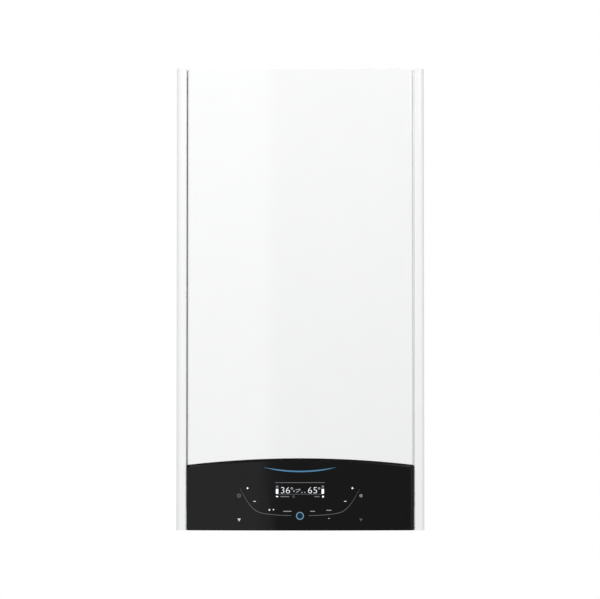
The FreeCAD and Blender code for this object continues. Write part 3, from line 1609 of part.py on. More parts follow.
def make_condensate_trap():
    body = new_body("condensate_trap", x="trap_offset", depth="trap_depth")
    rod(body, "height", "on_plate", "trap_high", ("0", "0"), "trap_radius - trap_rib")
    step = "((trap_high - on_plate) / 4)"
    for index in range(4):
        low = f"on_plate + {index} * {step}"
        rod(body, "height", low, f"{low} + 2 * trap_rib", ("0", "0"), "trap_radius")
    rod(body, "height", "trap_outlet_end", "on_plate", ("0", "0"), "trap_outlet_radius")
    bore = ("trap_outlet_end - cut_overrun", "trap_outlet_end + connection_bore_depth")
    rod(body, "height", *bore, ("0", "0"), "trap_outlet_radius - trap_rib", cut=True)


def make_condensate_hose():
    below = "chamber_low - chamber_flange"
    points = [
        ("drain_offset", "drain_depth", "drain_low"),
        ("drain_offset", "drain_depth", f"{below} - 3 * hose_radius"),
        ("trap_offset", "trap_depth", "trap_high + 3 * hose_radius"),
        ("trap_offset", "trap_depth", "trap_high"),
    ]
    tube("condensate_hose", points, "hose_radius", "hose_bend")


def make_gas_valve():
    body = new_body("gas_valve")
    across = ("-valve_left", "valve_right")
    box(body, across, ("valve_rear", "valve_front"), ("valve_low", "valve_high"))
    round_edges(body, "casting_round", upright)
    middle = "(valve_low + valve_high) / 2"
    coil = ("valve_front", "valve_front + valve_coil_length")
    centre = ("(valve_right - valve_left) / 2", middle)
    rod(body, "depth", *coil, centre, "valve_coil_radius")


def make_gas_inlet_pipe():
    """The gas connection, straight up to the valve."""
    body = new_body("gas_inlet_pipe")
    centre = ("0", "connection_depth")
    add_connection(body, 2, "block_low + casting_round")
    rod(body, "height", "block_low", "valve_low", centre, "gas_pipe_radius")


def make_gas_feed_pipe():
    """The bent pipe from the valve through the chamber's floor to the mixer."""
    turn = "chamber_low - 3 * gas_feed_radius"
    points = [
        ("-valve_outlet_offset", "valve_outlet_depth", "valve_high"),
        ("-valve_outlet_offset", "valve_outlet_depth", turn),
        ("-gas_feed_offset", "fan_depth", turn),
        ("-gas_feed_offset", "fan_depth", "fan_height - mixer_radius"),
    ]
    tube("gas_feed_pipe", points, "gas_feed_radius", "gas_bend")


def vessel_rim(edge, inset):
    """True of the round edges of the vessel's two ends, so far in from each end."""
    span = edge.BoundBox
    places = (f"on_frame + {inset}", f"vessel_front - {inset}")
    flat = span.YLength < SAME_PLACE and span.XLength > number("vessel_radius")
    return flat and any(abs(span.YMin + number(place)) < SAME_PLACE for place in places)


def make_expansion_vessel():
    """The flat round vessel behind the chamber, two pressed halves with a seam."""
    body = new_body("expansion_vessel")
    centre = ("0", "vessel_height")
    rod(body, "depth", "on_frame", "vessel_front", centre, "vessel_radius - vessel_seam")
    middle = "(on_frame + vessel_front) / 2"
    seam = (f"{middle} - vessel_seam / 2", f"{middle} + vessel_seam / 2")
    rod(body, "depth", *seam, centre, "vessel_radius")
    port = ("vessel_port_offset", "vessel_port_depth")
    rod(body, "height", "vessel_port_low", "vessel_height", port, "vessel_port_radius")
    room = ("on_frame + vessel_wall", "vessel_front - vessel_wall")
    rod(body, "depth", *room, centre, "vessel_radius - vessel_seam - vessel_wall", cut=True)
    round_edges(body, "vessel_round - vessel_wall", lambda edge: vessel_rim(edge, "vessel_wall"))
    round_edges(body, "vessel_round", lambda edge: vessel_rim(edge, "0"))


def make_expansion_hose():
    points = [
        ("vessel_port_offset", "vessel_port_depth", "vessel_port_low"),
        ("vessel_port_offset", "vessel_port_depth", "vessel_port_low / 2 + exchanger_high / 2"),
        ("vessel_hose_offset", "vessel_hose_depth", "exchanger_high + vessel_hose_depth / 3"),
        ("vessel_hose_offset", "vessel_hose_depth", "block_high"),
    ]
    tube("expansion_hose", points, "vessel_hose_radius", "hose_bend")


def make_risers():
    """The two pipes between the water groups and the heat cell."""
    ends = (("flow_pipe", -1, "tower_high"), ("return_pipe", 1, "port_high"))
    for label, side, foot in ends:
        points = [
            (f"{side} * (cell_radius + stub_reach)", "riser_depth", "cell_height"),
            (f"{side} * riser_offset", "riser_depth", "cell_height"),
            (f"{side} * riser_offset", "riser_depth", foot),
        ]
        tube(label, points, "riser_radius", "riser_bend")


def make_temperature_sensors():
    """Two sensors clipped round the rising pipes."""
    body = new_body("temperature_sensors")
    heights = ("sensor_height", "sensor_height + sensor_length")
    for side in (1, -1):
        across = ("riser_offset - sensor_half", "riser_offset + sensor_half")
        depths = ("riser_depth - sensor_half", "riser_depth + sensor_depth - sensor_half")
        box(body, across, depths, heights, side=side)
        centre = ("riser_offset", "riser_depth")
        hole(body, "height", *heights, centre, "riser_radius + running_gap", side=side)


def make_fascia():
    """The moulding behind the glossy pane: bowed skin, arched top, window and bosses."""
    body = new_body("fascia")
    side_height = "fascia_side - fascia_gap"
    front = "fascia_skin"
    edge = "bow_edge - pane_thickness - bond_gap"
    rear = "bow_edge - fascia_return"
    outer = bow_outline("front_half", edge, front, "front_corner", rear)
    slab(body, "plan", "0", "fascia_height", outer)
    wall = "fascia_wall"
    corner = f"front_corner - {wall}"
    inner = bow_outline(
        f"front_half - {wall}", f"{edge} - {wall}", f"{front} - {wall}", corner, rear
    )
    slab(body, "plan", wall, "fascia_height + cut_overrun", inner, cut=True)
    wide = "front_half + cut_overrun"
    strip = [
        (wide, "fascia_height"),
        (flip(wide), "fascia_height"),
        (flip(wide), f"{side_height} - {wall}", "0", f"fascia_top - {wall}"),
        (wide, f"{side_height} - {wall}"),
    ]
    slab(body, "front", rear, f"{front} - {wall} / 2", strip)
    beyond = "front_half + 2 * cut_overrun"
    around = outer + [
        (flip(beyond), rear),
        (flip(beyond), "casing_depth"),
        (beyond, "casing_depth"),
        (beyond, rear),
    ]
    slab(body, "plan", "-cut_overrun", "fascia_height + cut_overrun", around, cut=True)
    over = above_arch(side_height, "fascia_top", "front_half", "fascia_height + cut_overrun")
    slab(body, "front", f"{rear} - cut_overrun", "casing_depth", over, cut=True)
    window = ("-window_half", "window_half")
    box(body, window, (rear, "casing_depth"), ("window_low", "window_high"), cut=True)
    for side in (1, -1):
        for height in ("boss_low", "boss_high"):
            depths = ("box_front", "bow_edge")
            rod(body, "depth", *depths, ("boss_offset", height), "boss_radius", side=side)


def make_touch_pane():
    """The glossy dark pane over the whole fascia, bonded to the moulding."""
    body = new_body("touch_pane")
    rear = "bow_edge - pane_thickness"
    behind = "bow_edge - 2 * front_corner"
    solid = bow_outline("front_half", "bow_edge", "casing_depth", "front_corner", behind)
    slab(body, "plan", "0", "fascia_height", solid)
    depth = f"{behind} - cut_overrun"
    back = [
        ("front_half + cut_overrun", depth),
        ("front_half + cut_overrun", rear),
        ("front_half - front_corner", rear, "0", "pane_back"),
        ("-front_half + front_corner", rear),
        ("-front_half - cut_overrun", rear),
        ("-front_half - cut_overrun", depth),
    ]
    slab(body, "plan", "-cut_overrun", "fascia_height + cut_overrun", back, cut=True)
    side_height = "fascia_side - fascia_gap"
    over = above_arch(side_height, "fascia_top", "front_half", "fascia_height + cut_overrun")
    slab(body, "front", depth, "casing_depth + cut_overrun", over, cut=True)


def box_outline(inset):
    """The control box from the side: square in front, sloped at the top rear."""
    low = f"box_low + {inset}"
    rear = f"box_rear + {inset}"
    high = f"box_high - {inset}"
    front = f"box_front - {inset}"
    return low, rear, high, front


def make_control_box():
    """The moulded box behind the fascia, open on its slope, with the two hinge pins."""
    body = new_body("control_box")
    low, rear, high, front = box_outline("0")
    outline = [
        (rear, low),
        (front, low),
        (front, high),
        ("box_top_rear", high),
        (rear, "box_rear_high"),
    ]
    slab(body, "side", "-box_half", "box_half", outline)
    low, rear, high, front = box_outline("box_wall")
    room = [
        (rear, low),
        (front, low),
        (front, high),
        ("box_top_rear + box_wall", high),
        ("box_top_rear", "box_high + cut_overrun"),
        ("box_rear - cut_overrun", "box_rear_high"),
        (rear, "box_rear_high"),
    ]
    slab(body, "side", "-box_half + box_wall", "box_half - box_wall", room, cut=True)
    for side in (1, -1):
        tail = "hinge_arm_offset + hinge_arm_sheet + hinge_pin_tail"
        centre = ("hinge_depth", "hinge_height")
        pin = ("box_half - box_wall", tail)
        rod(body, "x", *pin, centre, "hinge_pin_radius", side=side)
        for height in ("display_board_low", "display_board_high"):
            sign = "+" if height == "display_board_low" else "-"
            spot = ("display_board_half - 2 * board_post_radius",)
            spot += (f"{height} {sign} 2 * board_post_radius",)
            post = ("box_front - box_wall", "display_board_rear")
            rod(body, "depth", *post, spot, "board_post_radius", side=side)
        for depth in ("main_board_rear", "main_board_front"):
            sign = "+" if depth == "main_board_rear" else "-"
            spot = ("main_board_half - 2 * board_post_radius",)
            spot += (f"{depth} {sign} 2 * board_post_radius",)
            post = ("box_low", "main_board_height")
            rod(body, "height", *post, spot, "board_post_radius", side=side)
    for step in (-1, 0, 1):
        centre = (f"{step} * gland_spacing", "gland_height")
        hole(body, "depth", "box_rear", "box_rear + box_wall", centre, "gland_radius - box_wall")


def make_control_box_cover():
    """The lid on the box's slope."""
    body = new_body("control_box_cover")
    run = "(box_top_rear - box_rear)"
    rise = "(box_high - box_rear_high)"
    slope = f"sqrt({run} * {run} + {rise} * {rise})"
    away = f"{rise} / {slope}"
    up = f"{run} / {slope}"
    near, far = "seat_gap", "(seat_gap + box_cover)"
    plate = [
        (f"box_rear - {away} * {near}", f"box_rear_high + {up} * {near}"),
        (f"box_top_rear - {away} * {near}", f"box_high + {up} * {near}"),
        (f"box_top_rear - {away} * {far}", f"box_high + {up} * {far}"),
        (f"box_rear - {away} * {far}", f"box_rear_high + {up} * {far}"),
    ]
    slab(body, "side", "-box_half", "box_half", plate)


def make_main_board():
    body = new_body("main_board")
    across = ("-main_board_half", "main_board_half")
    depths = ("main_board_rear", "main_board_front")
    top = "main_board_height + board_sheet"
    box(body, across, depths, ("main_board_height", top))
    for step in (-1, 0, 1):
        middle = f"{step} * gland_spacing"
        relay = (f"{middle} - relay_half", f"{middle} + relay_half")
        relay_depths = ("main_board_front - 4 * relay_half", "main_board_front - relay_half")
        box(body, relay, relay_depths, (top, f"{top} + relay_height"))
        spot = (f"{middle} + 3 * relay_half", "main_board_rear + 3 * capacitor_radius")
        can = (top, f"{top} + capacitor_height")
        rod(body, "height", *can, spot, "capacitor_radius")


def make_display_module():
    """The board behind the window, with the framed display on it."""
    body = new_body("display_module")
    across = ("-display_board_half", "display_board_half")
    front = "display_board_rear + board_sheet"
    heights = ("display_board_low", "display_board_high")
    box(body, across, ("display_board_rear", front), heights)
    screen = ("-display_half", "display_half")
    box(body, screen, (front, "display_front"), ("display_low", "display_high"))
    glass = ("-display_half + display_frame", "display_half - display_frame")
    glass_heights = ("display_low + display_frame", "display_high - display_frame")
    recess = ("display_front - casing_sheet", "display_front + cut_overrun")
    box(body, glass, recess, glass_heights, cut=True)


def make_light_guides():
    """The ring round the power key and the curved bar above the display, on short feet."""
    body = new_body("light_guides")
    rear = "display_board_rear + board_sheet"
    centre = ("0", "guide_ring_height")
    rod(body, "depth", rear, "guide_front", centre, "guide_ring_radius")
    rod(
        body,
        "depth",
        "guide_front - guide_wall",
        "guide_front + cut_overrun",
        centre,
        "guide_ring_radius - guide_wall",
        cut=True,
    )
    high = "guide_arc_height"
    low = "guide_arc_height - guide_wall"
    bar = [
        ("guide_arc_half", high, "0", f"{high} - guide_arc_sag"),
        ("-guide_arc_half", high),
        ("-guide_arc_half", low, "0", f"{low} - guide_arc_sag"),
        ("guide_arc_half", low),
    ]
    slab(body, "front", "guide_front - 2 * guide_wall", "guide_front", bar)
    foot = ("-guide_wall", "guide_wall")
    foot_high = f"{low} - guide_arc_sag + guide_wall / 2"
    box(body, foot, (rear, "guide_front - guide_wall"), (f"{foot_high} - 2 * guide_wall", foot_high))


def make_cable_glands():
    """Three glands in the box's rear wall for the leads to the parts behind."""
    body = new_body("cable_glands")
    for step in (-1, 0, 1):
        centre = (f"{step} * gland_spacing", "gland_height")
        nut = ("box_rear - gland_reach", "box_rear - seat_gap")
        rod(body, "depth", *nut, centre, "gland_radius")
        neck = ("box_rear - gland_reach", "box_rear + box_wall")
        rod(body, "depth", *neck, centre, "gland_radius - box_wall - seat_gap")
        hole(body, "depth", *neck, centre, "gland_bore")


def make_all():
    make_wall_bracket()
    make_back_frame()
    make_side_panel("left_side_panel", -1)
    make_side_panel("right_side_panel", 1)
    make_casing_hooks()
    make_front_casing()
    make_front_insulation()
    make_top_panel()
    make_frame_screws()
    make_air_inlet_cap()
    make_chamber_shell()
    make_cover_clip("left_cover_clip", -1)
    make_cover_clip("right_cover_clip", 1)
    make_chamber_cover()
    make_cover_seal()
    make_heat_exchanger_shell()
    make_heat_exchanger_rings()
    make_burner_door()
    make_door_nuts()
    make_burner()
    make_burner_manifold()
    make_electrodes()
    make_ignition_transformer()
    make_ignition_lead()
    make_fan_housing()
    make_fan_impeller()
    make_fan_motor()
    make_mixer()
    make_silencer()
    make_exhaust_duct()
    make_flue_socket()
    make_pipe_plate()
    make_flow_group()
    make_return_group()
    make_pump_impeller()
    make_pump_motor()
    make_plate_exchanger()
    make_air_vent()
    make_diverter_motor()
    make_relief_valve()
    make_relief_knob()
    make_filling_knob()
    make_condensate_trap()
    make_condensate_hose()
    make_gas_valve()
    make_gas_inlet_pipe()
    make_gas_feed_pipe()
    make_expansion_vessel()
    make_expansion_hose()
    make_risers()
    make_temperature_sensors()
    make_fascia()
    make_touch_pane()
    make_control_box()
    make_control_box_cover()
    make_main_board()
    make_display_module()
    make_light_guides()
    make_cable_glands()


def check_features():
    """Stop if any feature failed, any cut is empty or any shape is broken."""
    faults = []
    for item in doc.Objects:
        if {"Invalid", "Error"} & set(item.State):
            faults.append(f"{item.Name} failed: {item.getStatusString()}")
            continue
        kind = item.TypeId
        if kind == "PartDesign::Pocket" or kind.startswith("PartDesign::Subtractive"):
            before, after = item.BaseFeature.Shape, item.Shape
            if before.isNull() or after.isNull() or after.Volume > before.Volume - SMALL_VOLUME:
                faults.append(f"{item.Name} cuts nothing")
    for part in parts:
        if part.Shape.isNull() or not part.Shape.isValid():
            faults.append(f"{part.Label} has no valid shape")
    if faults:
        raise RuntimeError("; ".join(faults))


def main():
    fill_sheet()
    make_all()
    doc.recompute()
    check_features()
    os.makedirs("parts", exist_ok=True)
    for part in parts:
        part.Shape.exportStep(f"parts/{part.Label}.step")
        print(part.Label, len(part.Shape.Solids), round(part.Shape.Volume))


main()
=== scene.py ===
import json
from collections import namedtuple
from math import cos, degrees, radians, sin, sqrt

import bmesh
import bpy
from mathutils import Matrix, Vector


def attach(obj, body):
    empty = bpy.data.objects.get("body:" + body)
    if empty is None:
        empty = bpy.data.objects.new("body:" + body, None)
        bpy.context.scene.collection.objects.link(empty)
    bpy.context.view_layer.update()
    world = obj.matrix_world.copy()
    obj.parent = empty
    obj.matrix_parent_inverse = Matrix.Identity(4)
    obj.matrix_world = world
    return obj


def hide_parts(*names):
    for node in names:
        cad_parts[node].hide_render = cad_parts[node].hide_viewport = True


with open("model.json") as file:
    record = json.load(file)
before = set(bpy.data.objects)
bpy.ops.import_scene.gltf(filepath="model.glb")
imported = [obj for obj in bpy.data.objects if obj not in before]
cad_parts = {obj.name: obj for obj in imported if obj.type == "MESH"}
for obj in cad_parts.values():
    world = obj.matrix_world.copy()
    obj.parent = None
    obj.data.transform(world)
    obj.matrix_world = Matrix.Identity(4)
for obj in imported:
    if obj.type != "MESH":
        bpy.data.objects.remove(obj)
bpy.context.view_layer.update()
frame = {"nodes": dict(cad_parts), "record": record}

# Pieces are drawn in millimetres: x across, depth in front of the wall, height above the lower edge.
TO_METRES = 0.001
ORIGIN_HEIGHT = 693
CASING_HEIGHT = 745
BOW_FRONT = 319
BOW_RADIUS = 2755.6


def in_frame(x, depth, height):
    """A point of the casing in the frame's metres."""
    return Vector((x, -depth, height - ORIGIN_HEIGHT)) * TO_METRES


def bow(x):
    """The depth of the bowed front at x."""
    return BOW_FRONT - BOW_RADIUS + sqrt(BOW_RADIUS * BOW_RADIUS - x * x)


# Finishes

# A look blends two colours in patches and has a span of roughness, a share of metal, a pattern
# with its size and depth, and values for other sockets. Its sizes are in metres.
Look = namedtuple("Look", "dark light patch rough metal pattern size depth sockets")


def grey(value):
    return (value, value, value)


LOOKS = {
    "white_enamel": Look(
        grey(0.885), grey(0.9), 0.05, (0.05, 0.075), 0, "peel", 0.0016, 0.000002,
        {"Specular IOR Level": 0.48},
    ),
    "inner_enamel": Look(
        (0.62, 0.63, 0.63), (0.68, 0.685, 0.68), 0.04, (0.3, 0.42), 0, "peel", 0.0015, 0.00001, {}
    ),
    "galvanised": Look(
        (0.44, 0.46, 0.48), (0.56, 0.58, 0.6), 0.05, (0.34, 0.5), 0.85, "spangle", 0.006, 0.000003, {}
    ),
    "zinc_fastener": Look(
        (0.5, 0.51, 0.5), (0.66, 0.66, 0.63), 0.004, (0.22, 0.4), 1, "grain", 0.0006, 0.00001, {}
    ),
    "stainless": Look(
        (0.46, 0.45, 0.44), (0.62, 0.61, 0.6), 0.03, (0.2, 0.36), 1, "brushed", 0.0008, 0.00001, {}
    ),
    "cast_aluminium": Look(
        (0.42, 0.43, 0.44), (0.6, 0.61, 0.62), 0.015, (0.42, 0.6), 0.85, "cast", 0.0014, 0.00008, {}
    ),
    "brass": Look(
        (0.5, 0.33, 0.12), (0.72, 0.52, 0.24), 0.012, (0.28, 0.45), 1, "cast", 0.0012, 0.00003, {}
    ),
    "copper": Look(
        (0.52, 0.22, 0.12), (0.78, 0.4, 0.26), 0.02, (0.2, 0.38), 1, "brushed", 0.0007, 0.000008, {}
    ),
    "gas_body": Look(
        (0.3, 0.31, 0.32), (0.44, 0.45, 0.46), 0.012, (0.4, 0.55), 0.8, "cast", 0.001, 0.00005, {}
    ),
    "vessel_red": Look(
        (0.42, 0.02, 0.016), (0.5, 0.035, 0.025), 0.03, (0.3, 0.42), 0, "peel", 0.0015, 0.00002,
        {"Coat Weight": 0.2},
    ),
    "black_plastic": Look(
        grey(0.012), grey(0.02), 0.01, (0.38, 0.52), 0, "grain", 0.0005, 0.00002, {}
    ),
    "grey_plastic": Look(
        (0.2, 0.205, 0.21), (0.25, 0.255, 0.26), 0.015, (0.4, 0.55), 0, "grain", 0.0006, 0.00003, {}
    ),
    "white_plastic": Look(
        (0.7, 0.7, 0.68), (0.76, 0.76, 0.74), 0.02, (0.32, 0.45), 0, "grain", 0.0006, 0.00001, {}
    ),
    "composite": Look(
        grey(0.018), grey(0.032), 0.008, (0.45, 0.62), 0, "fibre", 0.0009, 0.00004, {}
    ),
    "fascia_black": Look(
        grey(0.014), grey(0.019), 0.02, (0.3, 0.42), 0, "grain", 0.0005, 0.00001, {}
    ),
    "pane_black": Look(
        grey(0.0062), grey(0.0074), 0.03, (0.05, 0.09), 0, "peel", 0.004, 0.0000003,
        {"Specular IOR Level": 0.16},
    ),
    "circuit_green": Look(
        (0.01, 0.075, 0.03), (0.03, 0.16, 0.06), 0.003, (0.25, 0.4), 0, "tracks", 0.0022, 0.00003, {}
    ),
    "light_guide": Look(
        (0.78, 0.82, 0.84), (0.86, 0.89, 0.9), 0.01, (0.12, 0.2), 0, "grain", 0.002, 0.000005,
        {"Transmission Weight": 0.35, "IOR": 1.49},
    ),
    "seal_foam": Look(
        grey(0.022), grey(0.05), 0.003, (0.75, 0.95), 0, "pores", 0.0012, 0.0003, {}
    ),
    "insulation": Look(
        (0.3, 0.3, 0.29), (0.46, 0.455, 0.44), 0.006, (0.8, 0.98), 0, "fibre", 0.002, 0.0004, {}
    ),
    "hose_rubber": Look(
        grey(0.014), grey(0.026), 0.008, (0.5, 0.7), 0, "grain", 0.0012, 0.00005, {}
    ),
    "braided": Look(
        grey(0.3), grey(0.66), 0.002, (0.25, 0.4), 1, "braid", 0.0016, 0.0003, {}
    ),
    "knob_red": Look(
        (0.48, 0.018, 0.014), (0.58, 0.03, 0.022), 0.01, (0.3, 0.42), 0, "grain", 0.0008, 0.00002, {}
    ),
    "knob_blue": Look(
        (0.016, 0.09, 0.36), (0.025, 0.13, 0.48), 0.01, (0.3, 0.42), 0, "grain", 0.0008, 0.00002, {}
    ),
    "lead_silicone": Look(
        grey(0.02), grey(0.04), 0.01, (0.4, 0.55), 0, "grain", 0.001, 0.00003, {}
    ),
}

# The colour sockets of a Mix node
MIX_FIRST = 6
MIX_SECOND = 7
MIX_RESULT = 2
# The part of a noise's range that its values mostly fill
NOISE_LOW = 0.3
NOISE_HIGH = 0.7


class Finish:
    """A material whose shader is fed by nodes on the piece's own coordinates."""

    def __init__(self, name, sockets):
        self.material = bpy.data.materials.new(name)
        self.material.use_nodes = True
        self.tree = self.material.node_tree
        self.shader = self.tree.nodes["Principled BSDF"]
        for socket, value in sockets.items():
            self.shader.inputs[socket].default_value = value
        self.place = self.add("TexCoord").outputs["Object"]

    def add(self, kind, settings=None, **inputs):
        """A node with its settings, and its inputs as values or as links."""
        node = self.tree.nodes.new("ShaderNode" + kind)
        for name, value in (settings or {}).items():
            setattr(node, name, value)
        for name, value in inputs.items():
            self.feed(node.inputs[name.replace("_", " ")], value)
        return node

    def feed(self, socket, value):
        if isinstance(value, bpy.types.NodeSocket):
            self.tree.links.new(value, socket)
        else:
            socket.default_value = value

    def noise(self, size, detail=3.0, place=None, distortion=0.0):
        node = self.add(
            "TexNoise",
            Vector=place or self.place,
            Scale=1 / size,
            Detail=detail,
            Distortion=distortion,
        )
        return node.outputs["Fac"]

    def span(self, value, low, high):
        """The filled part of a noise's range spread over low to high."""
        node = self.add(
            "MapRange", Value=value, From_Min=NOISE_LOW, From_Max=NOISE_HIGH, To_Min=low, To_Max=high
        )
        return node.outputs["Result"]

    def mix(self, value, dark, light):
        node = self.add("Mix", {"data_type": "RGBA"})
        self.feed(node.inputs["Factor"], value)
        self.feed(node.inputs[MIX_FIRST], (*dark, 1))
        self.feed(node.inputs[MIX_SECOND], (*light, 1))
        return node.outputs[MIX_RESULT]

    def stretched(self, scale):
        """The coordinates scaled by axis, so that a small scale draws a pattern out along its axis."""
        return self.add("Mapping", Vector=self.place, Scale=scale).outputs["Vector"]

    def calculate(self, operation, first, second):
        node = self.add("Math", {"operation": operation})
        self.feed(node.inputs[0], first)
        self.feed(node.inputs[1], second)
        return node.outputs[0]

    def bump(self, height, depth):
        node = self.add("Bump", Height=height, Distance=depth, Strength=1.0)
        self.tree.links.new(node.outputs["Normal"], self.shader.inputs["Normal"])


# The patterns' scales by axis, twist, sizes as multiples of the look's own, and leans in radians
BRUSHED_SCALE = (1.0, 1.0, 0.04)
STRAND_SCALE = (1.0, 0.3, 1.0)
STRAND_TWIST = 2.5
MOTTLE_SIZE = 4
BRAID_LEANS = (0.9, -0.9)
BRAID_SIZE = 3
TRACK_BRICKS = {"offset": 0.37, "squash": 1.6}
TRACK_SIZE = 4
PLAIN_DETAILS = {"peel": 1.0, "grain": 3.0}


def relief(finish, look):
    """The height of a finish's own pattern, and what the pattern adds to its colour."""
    size = look.size
    if look.pattern == "brushed":
        lines = finish.noise(size, detail=2.0, place=finish.stretched(BRUSHED_SCALE))
        return lines, lines
    if look.pattern == "spangle":
        flakes = finish.add(
            "TexVoronoi", {"feature": "F1"}, Vector=finish.place, Scale=1 / size, Randomness=1.0
        )
        tone = finish.add("SeparateColor", Color=flakes.outputs["Color"]).outputs[0]
        return tone, tone
    if look.pattern == "cast":
        grain = finish.noise(size, detail=6.0)
        return grain, finish.noise(size * MOTTLE_SIZE, detail=2.0)
    if look.pattern == "pores":
        pores = finish.add("TexVoronoi", {"feature": "F1"}, Vector=finish.place, Scale=1 / size)
        return pores.outputs["Distance"], pores.outputs["Distance"]
    if look.pattern == "fibre":
        place = finish.stretched(STRAND_SCALE)
        strands = finish.noise(size, detail=5.0, place=place, distortion=STRAND_TWIST)
        return strands, strands
    if look.pattern == "braid":
        turned = [
            finish.add("Mapping", Vector=finish.place, Rotation=(0.0, lean, 0.0)).outputs[0]
            for lean in BRAID_LEANS
        ]
        waves = [
            finish.add("TexWave", {"wave_type": "BANDS"}, Vector=way, Scale=1 / size / BRAID_SIZE)
            for way in turned
        ]
        both = finish.calculate("MAXIMUM", waves[0].outputs["Fac"], waves[1].outputs["Fac"])
        return both, both
    if look.pattern == "tracks":
        bricks = finish.add(
            "TexBrick", TRACK_BRICKS, Vector=finish.place, Scale=1 / size / TRACK_SIZE
        )
        return bricks.outputs["Fac"], bricks.outputs["Fac"]
    grain = finish.noise(size, detail=PLAIN_DETAILS[look.pattern])
    return grain, grain


# The smears of roughness, as a multiple of the patches of colour, and their twist
SMEAR_SIZE = 1.7
SMEAR_TWIST = 0.6


def make_finish(name, look):
    finish = Finish(name, {"Metallic": look.metal, **look.sockets})
    height, tone = relief(finish, look)
    patches = finish.noise(look.patch, detail=4.0)
    both = finish.calculate("ADD", patches, tone)
    mean = finish.calculate("MULTIPLY", both, 0.5)
    colour = finish.mix(finish.span(mean, 0.0, 1.0), look.dark, look.light)
    finish.feed(finish.shader.inputs["Base Color"], colour)
    smears = finish.noise(look.patch * SMEAR_SIZE, distortion=SMEAR_TWIST)
    finish.feed(finish.shader.inputs["Roughness"], finish.span(smears, *look.rough))
    finish.bump(height, look.depth)
    return finish.material


finishes = {name: make_finish(name, look) for name, look in LOOKS.items()}

# How bright the darker patches of a shining mark are, and its patches and grain in metres
LIT_SHADE = 0.8
LIT_PATCH = 0.004
LIT_GRAIN = 0.001
LIT_DEPTH = 0.000002


def make_lit(name, colour, strength):
    """A mark that shines through the pane."""
    sockets = {"Roughness": 0.3, "Specular IOR Level": 0.12, "Emission Strength": strength}
    finish = Finish(name, {**sockets, "Emission Color": (*colour, 1)})
    dim = tuple(part * LIT_SHADE for part in colour)
    base = finish.mix(finish.noise(LIT_PATCH), dim, colour)
    finish.feed(finish.shader.inputs["Base Color"], base)
    finish.bump(finish.noise(LIT_GRAIN), LIT_DEPTH)
    return finish.material


lit_white = make_lit("lit_white", (0.8, 0.82, 0.84), 0.7)
lit_grey = make_lit("lit_grey", (0.13, 0.14, 0.15), 0.5)
lit_soft = make_lit("lit_soft", (0.29, 0.3, 0.31), 0.6)
lit_blue = make_lit("lit_blue", (0.05, 0.14, 0.235), 0.75)
lit_ring = make_lit("lit_ring", (0.1, 0.19, 0.25), 0.8)
lit_core = make_lit("lit_core", (0.001, 0.011, 0.026), 0.8)

for record_part in frame["record"]["subparts"]:
    node = frame["nodes"][record_part["node"]]
    node.data.materials.clear()
    node.data.materials.append(finishes[record_part["material_slot"]])


# Pieces

# Points closer than this many millimetres are one, and edges sharper than this many degrees stay.
WELD = 0.002
SHARP = 32


def link(name, data):
    """A new object in the scene."""
    made = bpy.data.objects.new(name, data)
    bpy.context.scene.collection.objects.link(made)
    return made


def finish_piece(name, bm, body, slot, material=None, sharp=SHARP, outward=True):
    """Brings a bmesh in millimetres to the frame as a piece that rides on a body."""
    if outward:
        bmesh.ops.remove_doubles(bm, verts=bm.verts, dist=WELD)
    bmesh.ops.scale(bm, vec=(TO_METRES,) * 3, verts=bm.verts)
    bmesh.ops.translate(bm, vec=(0, 0, -ORIGIN_HEIGHT * TO_METRES), verts=bm.verts)
    if outward:
        bmesh.ops.recalc_face_normals(bm, faces=bm.faces)
    mesh = bpy.data.meshes.new(name)
    bm.to_mesh(mesh)
    bm.free()
    mesh.shade_smooth()
    mesh.set_sharp_from_angle(angle=radians(sharp))
    mesh.materials.append(material or finishes[slot])
    piece = link(name, mesh)
    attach(piece, body)
    return piece


# The marks on the touch pane, in front of its bowed face

# How far the pane's face and its marks lie behind the bow, and how far the marks shift
PANE_INSET = 0.12
MARK_INSET = 0.04
MARKS_RISE = 1.3
MARKS_LEFT = 0.7
UPRIGHT = Matrix.Rotation(radians(90), 4, "X")
RING_STEPS = 48
DISC_STEPS = 32


def edges_of(verts):
    """The edges at some points, each once and in a steady order."""
    return list(dict.fromkeys(edge for vert in verts for edge in vert.link_edges))


def on_pane(bm, rise):
    """Lays flat marks, drawn at x and height, on the bowed pane."""
    for vert in bm.verts:
        vert.co.x -= MARKS_LEFT
        vert.co.y = -(bow(vert.co.x) - MARK_INSET)
        vert.co.z += rise
    for face in bm.faces:
        face.normal_update()
    turned = [face for face in bm.faces if face.normal.y > 0]
    bmesh.ops.reverse_faces(bm, faces=turned)


def mark_strip(bm, points, widths):
    """A line through points, as wide at each as widths says."""
    last = None
    for index, (x, height) in enumerate(points):
        before = points[max(index - 1, 0)]
        after = points[min(index + 1, len(points) - 1)]
        along = Vector((after[0] - before[0], after[1] - before[1])).normalized()
        across = Vector((-along.y, along.x)) * widths[index] / 2
        pair = [
            bm.verts.new((x + across.x * side, 0, height + across.y * side)) for side in (1, -1)
        ]
        if last:
            bm.faces.new((last[0], last[1], pair[1], pair[0]))
        last = pair


def mark_block(bm, x, height, width, tall):
    """A filled rectangle about a middle, divided across so that it can follow the bow."""
    made = bmesh.ops.create_grid(bm, x_segments=2, y_segments=1, size=0.5)
    sized = Matrix.Diagonal((width, 1, tall, 1))
    shape = Matrix.Translation((x, 0, height)) @ sized @ UPRIGHT
    bmesh.ops.transform(bm, matrix=shape, verts=made["verts"])


